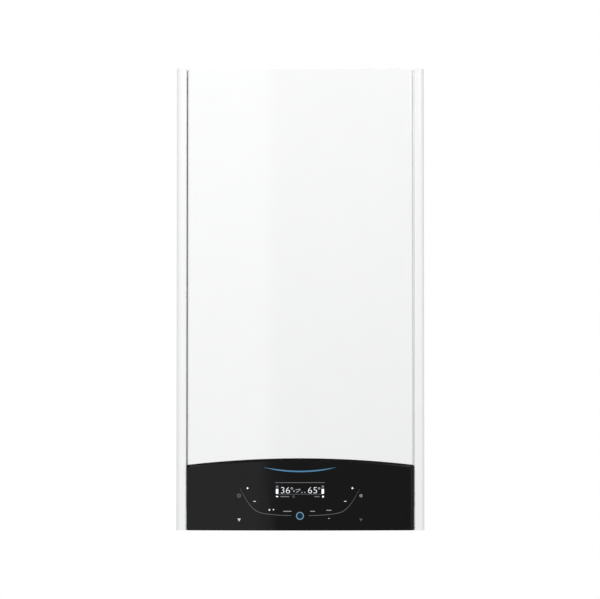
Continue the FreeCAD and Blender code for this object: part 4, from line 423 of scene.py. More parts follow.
def mark_ring(bm, x, height, radius, width):
    """A flat ring whose width lies inside its radius."""
    made = bmesh.ops.create_circle(bm, segments=RING_STEPS, radius=radius)
    middle = Vector((x, 0, height))
    bmesh.ops.transform(bm, matrix=Matrix.Translation(middle) @ UPRIGHT, verts=made["verts"])
    grown = bmesh.ops.extrude_edge_only(bm, edges=edges_of(made["verts"]))["geom"]
    inner = [item for item in grown if isinstance(item, bmesh.types.BMVert)]
    share = (radius - width) / radius
    for vert in inner:
        vert.co = middle + (vert.co - middle) * share


def mark_disc(bm, x, height, radius):
    made = bmesh.ops.create_circle(bm, cap_ends=True, segments=DISC_STEPS, radius=radius)
    shape = Matrix.Translation((x, 0, height)) @ UPRIGHT
    bmesh.ops.transform(bm, matrix=shape, verts=made["verts"])


def smooth_line(points, steps):
    """Points on a smooth spline through the given ones."""
    line = []
    for index in range(len(points) - 1):
        a = Vector(points[max(index - 1, 0)])
        b = Vector(points[index])
        c = Vector(points[index + 1])
        d = Vector(points[min(index + 2, len(points) - 1)])
        for step in range(steps):
            t = step / steps
            spot = 2 * b + (c - a) * t + (2 * a - 5 * b + 4 * c - d) * t * t
            spot = spot + (3 * b - a - 3 * c + d) * t * t * t
            line.append(tuple(spot / 2))
    line.append(tuple(points[-1]))
    return line


def marks(name, material, draw, rise=MARKS_RISE):
    bm = bmesh.new()
    draw(bm)
    on_pane(bm, rise)
    finish_piece(name, bm, "control_panel", "light_guide", material, outward=False)


# The arc's half width, the height of its middle, its sag, and its widths in the middle and at its
# tips; it has a rise of its own
ARC_HALF = 57
ARC_LOW = 94.5
ARC_SAG = 6.3
ARC_WIDTH = 2.3
ARC_TIP = 0.5
ARC_STEPS = 20
ARC_RISE = 0.3


def draw_arc(bm):
    """A shallow arc, thickest in its middle."""
    places = [ARC_HALF * (step / ARC_STEPS - 1) for step in range(2 * ARC_STEPS + 1)]
    points = [(x, ARC_LOW + ARC_SAG * (x / ARC_HALF) ** 2) for x in places]
    widths = [max(ARC_WIDTH * (1 - (x / ARC_HALF) ** 4), ARC_TIP) for x in places]
    mark_strip(bm, points, widths)


# The ring key, and the curves that rise from its sides
RING_HEIGHT = 22.3
RING_RADIUS = 6.3
RING_WIDTH = 1.5
CURVE = ((96, 65.6), (87.4, 50), (79.3, 38.6), (70.6, 30.5), (60.5, 26.6), (40, 23.9), (14.1, 22.7))
CURVE_STEPS = 6
CURVE_TIP = 0.2
CURVE_GROWTH = 0.03
CURVE_WIDTH = 0.6


def draw_ring(bm):
    mark_ring(bm, 0, RING_HEIGHT, RING_RADIUS, RING_WIDTH)


def draw_core(bm):
    mark_disc(bm, 0, RING_HEIGHT, RING_RADIUS - RING_WIDTH)


def draw_curves(bm):
    for side in (1, -1):
        line = smooth_line([(side * x, height) for x, height in CURVE], CURVE_STEPS)
        widths = [min(CURVE_TIP + CURVE_GROWTH * step, CURVE_WIDTH) for step in range(len(line))]
        mark_strip(bm, line, widths)


# Three bars that widen upwards: the rise and width of each
WAVES = ((0, 1.2), (1.5, 2.8), (3, 4.6))
WAVE_LOW = 14.3
WAVE_THICK = 0.8


def draw_waves(bm, x):
    for rise, width in WAVES:
        mark_block(bm, x, WAVE_LOW + rise, width, WAVE_THICK)


# Bars as x, height, width and tall; a pair's bars stand on both sides of the middle
WHITE_PAIRS = (
    (36.65, 61.6, 3.8, 7.8),
    (84.2, 66.6, 3.5, 0.8),
    (84.2, 66.6, 0.8, 3.5),
    (72.8, 45.6, 4, 0.7),
)
WHITE_BARS = ((-36.7, 53.3, 3.4, 1.7), (37.1, 53.1, 2.7, 2.7), (-49, 31.8, 2, 2))
GREY_PAIR = (36.65, 69.2, 3.8, 3.4)
GREY_BARS = (
    (0, 75.6, 79.4, 0.8),
    (0, 57, 69, 0.5),
    (-24.2, 53.2, 14, 1.5),
    (27.3, 53.2, 8, 1.5),
    (-98, 54.6, 0.8, 3.2),
)
SOFT_BARS = (
    (-20.2, 29.6, 13, 1),
    (20.3, 29.6, 7.6, 1),
    (46.4, 31.2, 8, 1),
    (46.6, 18.2, 2.8, 1),
)
# Rings as x, height, radius and width, discs as x, height and radius
GREY_RINGS = ((-10.2, 53.2, 1.7, 0.6), (-98, 54.6, 3, 0.7))
SOFT_RINGS = ((-13.1, 66.3, 1.8, 0.9), (30.7, 66.3, 1.8, 0.9), (98, 54.6, 2.4, 0.7))
WHITE_DOT = (-42.5, 32.3, 0.9)
SOFT_DOTS = ((-9.7, 62, 1.2), (3.2, 59.9, 0.9), (7.9, 59.9, 0.9), (98, 54.6, 0.8))
# Strokes as their points and their widths there
SOFT_STROKES = (
    (((-6.7, 64.1), (0.8, 65.1)), (0.9, 0.9)),
    (((-6.3, 59.6), (-2, 62), (0.8, 65.1)), (1, 0.9, 0.9)),
)
WHITE_WAVES = -97.6
GREY_WAVES = 98


def draw_white(bm):
    for side in (1, -1):
        for x, height, width, tall in WHITE_PAIRS:
            mark_block(bm, side * x, height, width, tall)
    for bar in WHITE_BARS:
        mark_block(bm, *bar)
    mark_disc(bm, *WHITE_DOT)
    draw_waves(bm, WHITE_WAVES)


def draw_grey(bm):
    x, height, width, tall = GREY_PAIR
    for side in (1, -1):
        mark_block(bm, side * x, height, width, tall)
    for bar in GREY_BARS:
        mark_block(bm, *bar)
    for ring in GREY_RINGS:
        mark_ring(bm, *ring)
    draw_waves(bm, GREY_WAVES)


def draw_soft(bm):
    for bar in SOFT_BARS:
        mark_block(bm, *bar)
    for ring in SOFT_RINGS:
        mark_ring(bm, *ring)
    for dot in SOFT_DOTS:
        mark_disc(bm, *dot)
    for points, widths in SOFT_STROKES:
        mark_strip(bm, points, widths)


# The display's digits: their size, how much wider and thinner they are drawn, and their height
READING_SIZE = 14.7
READING_STRETCH = 1.14
READING_THIN = -0.34
READING_HEIGHT = 58.4


def reading(name, words, x):
    """Plain digits on the display."""
    curve = bpy.data.curves.new(name, "FONT")
    curve.body = words
    curve.size = READING_SIZE
    curve.align_x = "CENTER"
    curve.offset = READING_THIN
    holder = link(name, curve)
    bpy.context.view_layer.update()
    flat = bpy.data.meshes.new_from_object(holder)
    bpy.data.objects.remove(holder)

    def draw(bm):
        bm.from_mesh(flat)
        wide = Matrix.Diagonal((READING_STRETCH, 1, 1, 1))
        shape = Matrix.Translation((x, 0, READING_HEIGHT)) @ UPRIGHT @ wide
        bmesh.ops.transform(bm, matrix=shape, verts=bm.verts)

    marks(name, lit_white, draw)
    bpy.data.meshes.remove(flat)
    bpy.data.curves.remove(curve)


marks("light_arc", lit_blue, draw_arc, ARC_RISE)
marks("ring_key", lit_ring, draw_ring)
marks("ring_core", lit_core, draw_core)
marks("guide_curves", lit_grey, draw_curves)
marks("white_marks", lit_white, draw_white)
marks("grey_marks", lit_grey, draw_grey)
marks("soft_marks", lit_soft, draw_soft)
reading("flow_reading", "36", -23.5)
reading("tap_reading", "65", 20.4)

# The weld of the pane's mesh in metres, and its sharp angle in degrees
PANE_WELD = 0.00001
PANE_SHARP = 5


def make_pane():
    """The touch pane with its front face a hair behind its marks."""
    bm = bmesh.new()
    bm.from_mesh(frame["nodes"]["touch_pane"].data)
    bmesh.ops.remove_doubles(bm, verts=bm.verts, dist=PANE_WELD)
    bmesh.ops.translate(bm, vec=(0, 0, ORIGIN_HEIGHT * TO_METRES), verts=bm.verts)
    bmesh.ops.scale(bm, vec=(1 / TO_METRES,) * 3, verts=bm.verts)
    for vert in bm.verts:
        vert.co.y = max(vert.co.y, -(bow(vert.co.x) - PANE_INSET))
    pane = finish_piece("key_pane", bm, "control_panel", "pane_black", sharp=PANE_SHARP)
    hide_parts("touch_pane")


make_pane()


# Details on the works behind the front

TURN = radians(360)
# Directions in the frame; slope stands square on the control box's sloped cover.
WAYS = {
    "right": (1, 0, 0),
    "left": (-1, 0, 0),
    "front": (0, -1, 0),
    "back": (0, 1, 0),
    "up": (0, 0, 1),
    "slope": (0, 0.731, 0.682),
}


def at(x, depth, height):
    return Vector((x, -depth, height))


def onward(place, way, reach):
    """The place at a reach from another, along one of the ways."""
    return Vector(place) + Vector((1, -1, 1)) * Vector(WAYS[way]) * reach


def stood(place, way):
    """Stands a shape that is drawn along +Z at a place, along one of the ways."""
    turn = Vector(WAYS[way]).to_track_quat("Z", "Y").to_matrix().to_4x4()
    return Matrix.Translation(at(*place)) @ turn


def around(count, start=0, skip=()):
    """Evenly spaced angles in degrees, without the skipped ones."""
    return [start + step * 360 / count for step in range(count) if step not in skip]


def soften(bm, verts, offset, segments):
    """Rounds or breaks every edge at some points."""
    bmesh.ops.bevel(
        bm, geom=edges_of(verts), offset=offset, offset_type="OFFSET", segments=segments,
        profile=0.5, affect="EDGES", material=-1,
    )


def lathe(bm, place, way, profile, steps=32):
    """Spins (radius, rise) pairs about a way."""
    shape = stood(place, way)
    verts = [bm.verts.new(shape @ Vector((radius, 0, rise))) for radius, rise in profile]
    edges = [bm.edges.new(pair) for pair in zip(verts, verts[1:])]
    if profile[0][0]:
        edges.append(bm.edges.new((verts[-1], verts[0])))
    bmesh.ops.spin(
        bm, geom=verts + edges, cent=at(*place), axis=WAYS[way], angle=TURN, steps=steps,
        use_merge=True,
    )


def band(bm, place, way, radius, wall, tall, edge=0.4, steps=40):
    """A ring with its two outer edges broken."""
    outer = radius + wall
    profile = [(radius, 0), (outer - edge, 0), (outer, edge)]
    profile += [(outer, tall - edge), (outer - edge, tall), (radius, tall)]
    lathe(bm, place, way, profile, steps)


def hexagon(bm, place, way, across, tall, edge=0.6):
    """A hexagonal prism with broken edges, across its flats and tall along its way."""
    radius = across / sqrt(3)
    shape = stood(place, way) @ Matrix.Translation((0, 0, tall / 2))
    made = bmesh.ops.create_cone(
        bm, cap_ends=True, segments=6, radius1=radius, radius2=radius, depth=tall, matrix=shape
    )
    soften(bm, made["verts"], edge, segments=1)


def block(bm, place, size, edge=0.6, tilt=0, roll=0):
    """A box with rounded edges about a middle; size is across, deep, tall."""
    turn = Matrix.Rotation(radians(tilt), 4, "X") @ Matrix.Rotation(radians(roll), 4, "Y")
    shape = Matrix.Translation(at(*place)) @ turn @ Matrix.Diagonal((*size, 1))
    made = bmesh.ops.create_cube(bm, size=1, matrix=shape)
    soften(bm, made["verts"], edge, segments=2)


def blocks(bm, rows):
    for place, size, edge in rows:
        block(bm, place, size, edge)


# A screw's sizes as shares of its washer's radius
WASHER_TALL = 0.3
WASHER_TOP = 0.88
HEAD_ACROSS = 1.35
HEAD_TALL = 0.55
HEAD_EDGE = 0.1
SHANK = 0.4
DISH = ((0.5, -0.1), (0.34, 0.06), (0.2, -0.1))
# The share of the washer's height that is straight, and the dish's lip in millimetres
WASHER_SIDE = 0.6
DISH_LIP = 0.02
SCREW_STEPS = 20


def screw(bm, place, way, radius, shank=0):
    """A hexagon head with a washer face and a dished top."""
    washer = radius * WASHER_TALL
    rim = [(radius, 0), (radius, washer * WASHER_SIDE), (radius * WASHER_TOP, washer), (0, washer)]
    foot = [(0, -shank), (radius * SHANK, -shank), (radius * SHANK, 0)] if shank else [(0, 0)]
    lathe(bm, place, way, foot + rim, SCREW_STEPS)
    head = onward(place, way, washer)
    hexagon(bm, head, way, radius * HEAD_ACROSS, radius * HEAD_TALL, radius * HEAD_EDGE)
    low, *rest = [(radius * reach, radius * rise) for reach, rise in DISH]
    dish = [low, (low[0], DISH_LIP), *rest]
    lathe(bm, onward(place, way, washer + radius * HEAD_TALL), way, dish, SCREW_STEPS)


# The share of a nut's width that is its washer's radius, and other sizes in millimetres
NUT_WASHER = 0.62
NUT_WASHER_TALL = 0.9
NUT_WASHER_SIDE = 0.7
NUT_WASHER_EDGE = 0.3
NUT_EDGE = 0.5
STUD_OUT = 2.2
STUD_EDGE = 0.5


def nut(bm, place, way, across, tall, stud):
    """A hexagon nut on its washer, with the end of the stud standing out."""
    washer = across * NUT_WASHER
    rim = [(0, 0), (washer, 0), (washer, NUT_WASHER_SIDE)]
    rim += [(washer - NUT_WASHER_EDGE, NUT_WASHER_TALL), (0, NUT_WASHER_TALL)]
    lathe(bm, place, way, rim, steps=24)
    hexagon(bm, onward(place, way, NUT_WASHER_TALL), way, across, tall, NUT_EDGE)
    end = tall + STUD_OUT
    tip = [(0, 0), (stud, 0), (stud, end - STUD_EDGE), (stud - STUD_EDGE, end), (0, end)]
    lathe(bm, place, way, tip, steps=20)


# A thread's pitch, how far its ridges and grooves stand out, and how deep its rings reach inside
THREAD_PITCH = 1.8
THREAD_RISE = 0.45
THREAD_CLEAR = 0.03
THREAD_ROOT = 0.8


def thread(bm, place, radius, tall):
    """The ridges of a pipe thread as rings round the pipe's end."""
    turns = int(tall / THREAD_PITCH)
    profile = [(radius - THREAD_ROOT, 0)]
    for step in range(turns):
        profile.append((radius + THREAD_CLEAR, step * THREAD_PITCH))
        profile.append((radius + THREAD_RISE, (step + 0.5) * THREAD_PITCH))
    profile.append((radius - THREAD_ROOT, turns * THREAD_PITCH))
    lathe(bm, place, "up", profile, steps=36)


def piece(name, slot, body="boiler_frame", replaces=None):
    """Draws a detail piece with the function below it."""

    def make(draw):
        bm = bmesh.new()
        draw(bm)
        made = finish_piece(name, bm, body, slot)
        if replaces:
            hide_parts(replaces)
        return draw

    return make


# The fan's axis, and the burner door's face and axis, as depth and height
FAN = (180, 310)
DOOR = (211, 490)
# Axes that face the front, as x and height
PUMP = (98, 150)
ELECTRODES = (-52, 540)
SIGHT = (-52, 492)
COIL = (-18, 157.5)
# Upright axes, and the transformer's front, as x and depth
DUCT = (0, 150)
TRAP = (36, 165)
DRAIN = (45, 118)
TRANSFORMER = (155.8, 225)
# The depths of the flow and return pipes and of the gas valve's front
RISER_DEPTH = 146
VALVE_FRONT = 150
# The ears round the fan's housing, which has none where its outlet is
FAN_EARS = around(6, 95, (5,))
FAN_EAR_REACH = 61.5
DIAGONALS = around(4, 45)


def by_fan(x, angle, reach):
    """A point round the fan's axis; the angle starts at the front."""
    turn = radians(angle)
    return (x, FAN[0] + reach * cos(turn), FAN[1] + reach * sin(turn))


def facing(x, depth, height, angle, reach):
    """A point round an axis that faces the front; the angle starts at the right."""
    turn = radians(angle)
    return (x + reach * cos(turn), depth, height + reach * sin(turn))


# The pipe ends as x and thread radius, with the heights of their threads and nuts
PIPE_ENDS = ((-134, 13.2), (-67, 10.45), (0, 13.2), (67, 10.45), (134, 13.2))
PIPE_DEPTH = 110
THREAD_LOW = 8
THREAD_TALL = 26
NUT_LOW = 36
NUT_TALL = 7.6
NUT_MARGIN = 6.6
# The unions at the feet of the flow and return pipes as x and height
UNIONS = ((-150, 104.2), (150, 176.2))
UNION_TALL = 12
# Wrench faces as foot, way, width across the flats and height
WRENCH_FACES = (
    ((-142, RISER_DEPTH, 490), "right", 24, 9.8),
    ((132, RISER_DEPTH, 490), "right", 24, 9.8),
    ((47, 100, 84.2), "up", 15, 10),
    ((60, 55, 312), "up", 17, 12.8),
    ((0, PIPE_DEPTH, 113), "up", 24, 12),
    ((-30, 118, 190.2), "up", 20, 10),
    ((-52, 180, 269), "up", 19, 12),
    ((98, 118, 192.2), "up", 24.5, 5),
    ((-90, 130, 64), "front", 27, 7),
    ((100, 118, 31), "up", 19, 8),
)
# The test nipples and the cap on the gas valve's front
NIPPLE = ((0, 0), (3.6, 0), (3.6, 3), (2.4, 4), (2.4, 8), (2.9, 8.6), (2.4, 10), (0, 10))
NIPPLE_PLACES = ((-38, VALVE_FRONT, 137), (2, VALVE_FRONT, 137))
VALVE_CAP = ((0, 0), (8, 0), (8, 5), (7, 6), (4.5, 6), (4, 4.6), (0, 4.6))
VALVE_CAP_PLACE = (3, VALVE_FRONT, 172)


@piece("brass_fittings", "brass")
def draw_fittings(bm):
    for x, radius in PIPE_ENDS:
        thread(bm, (x, PIPE_DEPTH, THREAD_LOW), radius, THREAD_TALL)
        hexagon(bm, (x, PIPE_DEPTH, NUT_LOW), "up", radius * 2 + NUT_MARGIN, NUT_TALL)
    for x, height in UNIONS:
        hexagon(bm, (x, RISER_DEPTH, height), "up", across=26, tall=UNION_TALL)
        band(bm, (x, RISER_DEPTH, height + UNION_TALL), "up", radius=7.8, wall=2.4, tall=3)
    for place, way, across, tall in WRENCH_FACES:
        hexagon(bm, place, way, across, tall)
    for place in NIPPLE_PLACES:
        lathe(bm, place, "front", NIPPLE, steps=20)
    lathe(bm, VALVE_CAP_PLACE, "front", VALVE_CAP, steps=28)


@piece("door_nut_set", "zinc_fastener", replaces="door_nuts")
def draw_door_nuts(bm):
    for angle in around(6):
        place = facing(0, *DOOR, angle, reach=114.5)
        nut(bm, place, "front", across=8.6, tall=3.4, stud=2.4)


@piece("top_screws", "zinc_fastener", replaces="frame_screws")
def draw_top_screws(bm):
    for x in (185, -185):
        for depth in (30, 240):
            screw(bm, (x, depth, 738), "up", radius=4.4, shank=9)


# Hose clamps as the places of their lower rims, with a lug in front and a screw in its side
CLAMPS = ((*TRAP, 166.5), (*DRAIN, 362))
LUG_SIZE = (7, 5, 6)
LUG_OUT = 11
LUG_RISE = 3
LUG_SIDE = 3.4


@piece("works_screws", "zinc_fastener")
def draw_works_screws(bm):
    for angle in FAN_EARS:
        screw(bm, by_fan(4, angle, FAN_EAR_REACH), "right", radius=3.2)
    for angle in DIAGONALS:
        screw(bm, by_fan(-26.2, angle, reach=30.8), "left", radius=2.5)
        screw(bm, facing(PUMP[0], 144.4, PUMP[1], angle, reach=40.6), "front", radius=2.2)
        screw(bm, facing(0, 240, DOOR[1], angle, reach=33), "front", radius=3)
    for x in (-44, 8):
        for height in (131, 184):
            screw(bm, (x, VALVE_FRONT, height), "front", radius=2.6)
    for angle in (60, 240):
        place = facing(ELECTRODES[0], 214, ELECTRODES[1], angle, reach=8.6)
        screw(bm, place, "front", radius=1.8)
    for height in (566, 614):
        screw(bm, (*TRANSFORMER, height), "front", radius=2.8)
    for x, depth, height in CLAMPS:
        ring = (x, depth, height)
        band(bm, ring, "up", radius=8.05, wall=0.9, tall=6, edge=0.3, steps=28)
        block(bm, (x, depth + LUG_OUT, height + LUG_RISE), LUG_SIZE)
        side = (x + LUG_SIDE, depth + LUG_OUT, height + LUG_RISE)
        screw(bm, side, "right", radius=2.2)


# A rivet's profile, and the rivets' places down the back frame
RIVET = ((0, 0), (3.2, 0), (2.9, 0.6), (1.7, 1.1), (0, 1.25))
RIVET_HEIGHTS = [48 + step * 78 for step in range(9)]
RIVET_DEPTH = 12


@piece("frame_rivets", "zinc_fastener")
def draw_rivets(bm):
    for x in (-186, 186):
        for height in RIVET_HEIGHTS:
            lathe(bm, (x, RIVET_DEPTH, height), "back", RIVET, steps=18)


# The profiles of the electrodes' flange and of the fan's ears
FLANGE = ((0, 0), (11.5, 0), (11.5, 2.4), (10.8, 3), (6.6, 3), (6, 2.2), (0, 2.2))
FAN_EAR = ((0, -4), (3.4, -4), (4, -3.4), (4, 3.4), (3.4, 4), (0, 4))
# Rings raised on the burner door as radius and steps
DOOR_RINGS = ((94, 72), (60, 60))
# The fan's ribs on each side as x, reach from the axis and length
FAN_RIBS = ((22.3, 49, 13), (-22.3, 43, 22))


@piece("door_ribs", "cast_aluminium")
def draw_door_ribs(bm):
    for radius, steps in DOOR_RINGS:
        band(bm, (0, *DOOR), "front", radius, wall=3, tall=1.8, edge=0.5, steps=steps)
    for angle in around(12, skip=(9,)):
        place = facing(0, DOOR[0] + 0.7, DOOR[1], angle, reach=78.5)
        block(bm, place, (33, 2, 2.6), edge=0.5, roll=-angle)
    lathe(bm, (ELECTRODES[0], DOOR[0], ELECTRODES[1]), "front", FLANGE, steps=32)
    for x in (-9, 9):
        block(bm, (x, 240.3, 424), (2.6, 1.8, 66), edge=0.5)
    band(bm, (0, 239.6, DOOR[1]), "front", radius=24, wall=2.6, tall=1.5)
    band(bm, (-2, *FAN), "right", radius=58.6, wall=2.8, tall=4, edge=0.5, steps=64)
    for angle in FAN_EARS:
        lathe(bm, by_fan(0, angle, FAN_EAR_REACH), "right", FAN_EAR, steps=20)
    for angle in around(12, 15):
        for x, reach, deep in FAN_RIBS:
            block(bm, by_fan(x, angle, reach), (1.6, deep, 2.4), edge=0.4, tilt=-angle)


@piece("door_seals", "seal_foam")
def draw_seals(bm):
    band(bm, (0, 210.6, DOOR[1]), "front", radius=39, wall=4.2, tall=2.6, edge=0.5, steps=48)
    band(bm, (*DUCT, 697), "up", radius=32.9, wall=2.6, tall=3.2)
    band(bm, (*DUCT, 731), "up", radius=28.8, wall=1.6, tall=4)


# Plugs on the motors and the coil, and the silencer's seam and clips, as middle, size and edge
BLACK_BLOCKS = (
    ((42, 180, 351), (22, 17, 10), 1),
    ((63, 180, 176), (15, 24, 17), 1.2),
    ((-18, 163, 176), (16, 18, 8), 1),
    ((-121.6, 188, 261.6), (80, 5, 2), 0.6),
    ((-150, 216.6, 276), (9, 2.4, 13), 0.8),
    ((-95, 216.6, 276), (9, 2.4, 13), 0.8),
)
# Rows of ribs on the transformer, the diverter motor and the silencer: the lowest rib's middle,
# the pitch, the count, the size and the edge
RIB_ROWS = (
    ((155.8, 225.3, 572), 12, 4, (21, 1.6, 2), 0.4),
    ((-137, 195.6, 62), 10, 4, (24, 1.4, 2.2), 0.4),
    ((-121, 216.3, 285), 20, 3, (64, 1.6, 2.4), 0.5),
    ((-144, 216.3, 368), 21, 3, (20, 1.6, 2.4), 0.5),
)
# The fins round the fan's motor, and the profiles of the pump motor's face and the coil's cap
COOLING_FINS = [26.5 + step * 5.8 for step in range(6)]
MOTOR_RIM = ((0, 0), (30, 0), (30, 0.9), (28.6, 1.7), (13, 1.7), (12, 0.8), (0, 0.8))
COIL_CAP = ((0, 0), (12, 0), (12, 1.2), (11, 2), (0, 2))


@piece("motor_details", "black_plastic")
def draw_motor_details(bm):
    for x in COOLING_FINS:
        band(bm, (x, *FAN), "right", radius=37.6, wall=1.7, tall=2.2)
    for angle in around(12):
        place = facing(PUMP[0], 172, PUMP[1], angle, reach=38.8)
        block(bm, place, (3, 50, 2.4), edge=0.5, roll=-angle)
    lathe(bm, (PUMP[0], 202.2, PUMP[1]), "front", MOTOR_RIM, steps=44)
    lathe(bm, (COIL[0], 175.9, COIL[1]), "front", COIL_CAP, steps=32)
    blocks(bm, BLACK_BLOCKS)
    for (x, depth, low), pitch, count, size, edge in RIB_ROWS:
        for step in range(count):
            block(bm, (x, depth, low + step * pitch), size, edge)


# Rings round the mixer as x, wall and tall; the last is its flange at the fan
MIXER_RINGS = ((-74, 1.8, 2.4), (-63, 1.8, 2.4), (-52, 1.8, 2.4), (-41, 1.8, 2.4), (-26.2, 5.8, 3.8))


@piece("mixer_ribs", "composite")
def draw_mixer_ribs(bm):
    for x, wall, tall in MIXER_RINGS:
        band(bm, (x, *FAN), "right", radius=27.7, wall=wall, tall=tall)


# Rings round the exhaust duct as height, wall and tall
DUCT_RINGS = ((614, 3.2, 9), (640, 2, 3), (648, 2, 3))
# Connectors on the fan motor, the pump and the gas valve's coil as middle, size and edge
CONNECTORS = (
    ((42, 180, 356.6), (15, 11, 3.6), 0.6),
    ((63, 192.4, 176), (11, 2.4, 12), 0.6),
    ((-18, 172.4, 176.4), (11, 2.2, 5), 0.5),
)


@piece("duct_rings", "white_plastic")
def draw_duct_rings(bm):
    for height, wall, tall in DUCT_RINGS:
        band(bm, (*DUCT, height), "up", radius=32.8, wall=wall, tall=tall, edge=0.6, steps=48)
    blocks(bm, CONNECTORS)


HOSE_RIDGES = range(234, 360, 6)


@piece("hose_ridges", "hose_rubber")
def draw_hose_ridges(bm):
    for height in HOSE_RIDGES:
        band(bm, (*DRAIN, height), "up", radius=7.6, wall=1.6, tall=3.2, edge=0.8, steps=24)


# The trap's radius, and the height of the grips round it
TRAP_RADIUS = 22
TRAP_GRIP = 38


@piece("trap_grips", "grey_plastic")
def draw_trap_grips(bm):
    for angle in around(18):
        turn = radians(angle)
        x = TRAP[0] + TRAP_RADIUS * cos(turn)
        depth = TRAP[1] + TRAP_RADIUS * sin(turn)
        block(bm, (x, depth, TRAP_GRIP), (2.2, 2.2, 3.4), edge=0.5)


# Two framed fields pressed in the chamber's cover as low and high
COVER_FIELDS = ((268, 430), (556, 718))
BEAD_HALF = 152
BEAD_DEPTH = 265.1
BEAD_WIDE = 7
BEAD_DEEP = 1.6
BEAD_EDGE = 0.7


@piece("cover_beads", "inner_enamel", "cover")
def draw_cover_beads(bm):
    for low, high in COVER_FIELDS:
        upright = (BEAD_WIDE, BEAD_DEEP, high - low)
        for x in (-BEAD_HALF, BEAD_HALF):
            block(bm, (x, BEAD_DEPTH, (low + high) / 2), upright, BEAD_EDGE)
        for height in (low, high):
            level = (2 * BEAD_HALF + BEAD_WIDE, BEAD_DEEP, BEAD_WIDE)
            block(bm, (0, BEAD_DEPTH, height), level, BEAD_EDGE)


@piece("sight_ring", "zinc_fastener", "cover")
def draw_sight_ring(bm):
    band(bm, (SIGHT[0], 264.9, SIGHT[1]), "front", radius=13, wall=6, tall=2.6, edge=0.7)
    for angle in around(3, 90):
        screw(bm, facing(SIGHT[0], 267.4, SIGHT[1], angle, reach=16), "front", radius=1.9)


SIGHT_GLASS = ((0, 0), (13.2, 0), (13.2, 1), (12.6, 1.4), (0, 1.6))


@piece("sight_glass", "light_guide", "cover")
def draw_sight_glass(bm):
    lathe(bm, (SIGHT[0], 264.95, SIGHT[1]), "front", SIGHT_GLASS, steps=32)


# The ribs down the control box's sloped cover by x, the slope's lean in degrees, and the ribs down
# the box's sides by depth
SLOPE_RIBS = range(-140, 141, 35)
SLOPE_LEAN = 43.1
SIDE_RIBS = range(270, 295, 6)


@piece("box_ribs", "black_plastic", "control_panel")
def draw_box_ribs(bm):
    for x in SLOPE_RIBS:
        block(bm, (x, 231.9, 62), (2.6, 1.6, 47), edge=0.5, tilt=SLOPE_LEAN)
    for x in (161.9, -161.9):
        for depth in SIDE_RIBS:
            block(bm, (x, depth, 60), (1.4, 2, 40), edge=0.4)


@piece("box_screws", "zinc_fastener", "control_panel")
def draw_box_screws(bm):
    for x in (-154, 154):
        for depth, height in ((210.2, 37.9), (254.4, 85.3)):
            screw(bm, (x, depth, height), "slope", radius=2.8)


@piece("gland_nuts", "grey_plastic", "control_panel")
def draw_gland_nuts(bm):
    for x in (-60, 0, 60):
        hexagon(bm, (x, 205.6, 18), "back", across=15.6, tall=4.6)


# Thin strips that stand in the joints beside the front, as middle, size and edge
GAP_LIPS = (
    ((182.7, 306.5, 424), (1.4, 9.5, 640), 0.2),
    ((-182.7, 293.5, 424), (1.4, 9.5, 640), 0.2),
)


@piece("gap_lips", "white_enamel")
def draw_gap_lips(bm):
    blocks(bm, GAP_LIPS)


# Foam beside the fascia, and along its arch in short straight runs
SIDE_SEALS = (
    ((182.5, 305.5, 50), (1.4, 9, 99.8), 0.2),
    ((-182.5, 305.5, 50), (1.4, 9, 99.8), 0.2),
)
SEAL_STEPS = 14
SEAL_HALF = 178
SEAL_TOP = 113.1
SEAL_DEPTH = 305
SEAL_OVERLAP = 1
ARCH_SAG = 11
ARCH_HALF = 182


@piece("fascia_seal", "seal_foam", "control_panel")
def draw_fascia_seal(bm):
    blocks(bm, SIDE_SEALS)
    run = 2 * SEAL_HALF / SEAL_STEPS
    for step in range(SEAL_STEPS):
        x = (step + 0.5) * run - SEAL_HALF
        height = SEAL_TOP - ARCH_SAG * (x / ARCH_HALF) ** 2
        slope = 2 * ARCH_SAG * x / ARCH_HALF ** 2
        size = (run + SEAL_OVERLAP, 7, 4)
        block(bm, (x, SEAL_DEPTH, height), size, edge=0.3, roll=degrees(slope))


# The studio, in metres

FLOOR_LOW = -6.5
FLOOR_HALF = 22
FLOOR_GLOW = 0.35
FLOOR_ROUGH = 0.9
FLOOR_DARK = 0.78
FLOOR_LIGHT = 0.82
FLOOR_PATCH = 0.6
CAMERA_REACH = 4.0
PHOTO_WIDTH = 0.9655
# In degrees
CAMERA_TILT = 1.7
# In millimetres: the sensor's width, and how far off the front's middle the camera aims
SENSOR = 36
CAMERA_LOWER = 1.45
CAMERA_LEFT = 0.6
ROOM_COLOUR = (0.97, 0.98, 1, 1)
ROOM_STRENGTH = 0.45
WHITE = (1, 1, 1, 1)
# The card's distance and half its width and height, the x at which its light fades and half the
# width of the fade, and the light's strength before and after it
CARD_REACH = 8.0
CARD_HALF = (3.2, 2.4)
CARD_EDGE = -0.43
CARD_FADE = 0.03
CARD_BRIGHT = 1.15
CARD_DIM = 0.25
# Lamps as name, place, aim, size and power in watts
LAMPS = (
    ("key_lamp", (-1.0, -3.2, 1.6), (0, -0.3, -0.2), 1.6, 54),
    ("fill_lamp", (1.6, -3.4, 1.1), (0, -0.3, -0.3), 1.8, 30),
    ("back_lamp", (0.6, 3.2, 1.6), (0, 0, -0.3), 2.2, 55),
)


def make_camera():
    data = bpy.data.cameras.new("camera")
    data.sensor_width = SENSOR
    data.lens = SENSOR * CAMERA_REACH / PHOTO_WIDTH
    camera = link("camera", data)
    middle = in_frame(-CAMERA_LEFT, BOW_FRONT, CASING_HEIGHT / 2 - CAMERA_LOWER)
    tilt = radians(CAMERA_TILT)
    camera.location = middle + Vector((0, -cos(tilt), -sin(tilt))) * CAMERA_REACH
    camera.rotation_euler = (radians(90) + tilt, 0, 0)
    bpy.context.scene.camera = camera


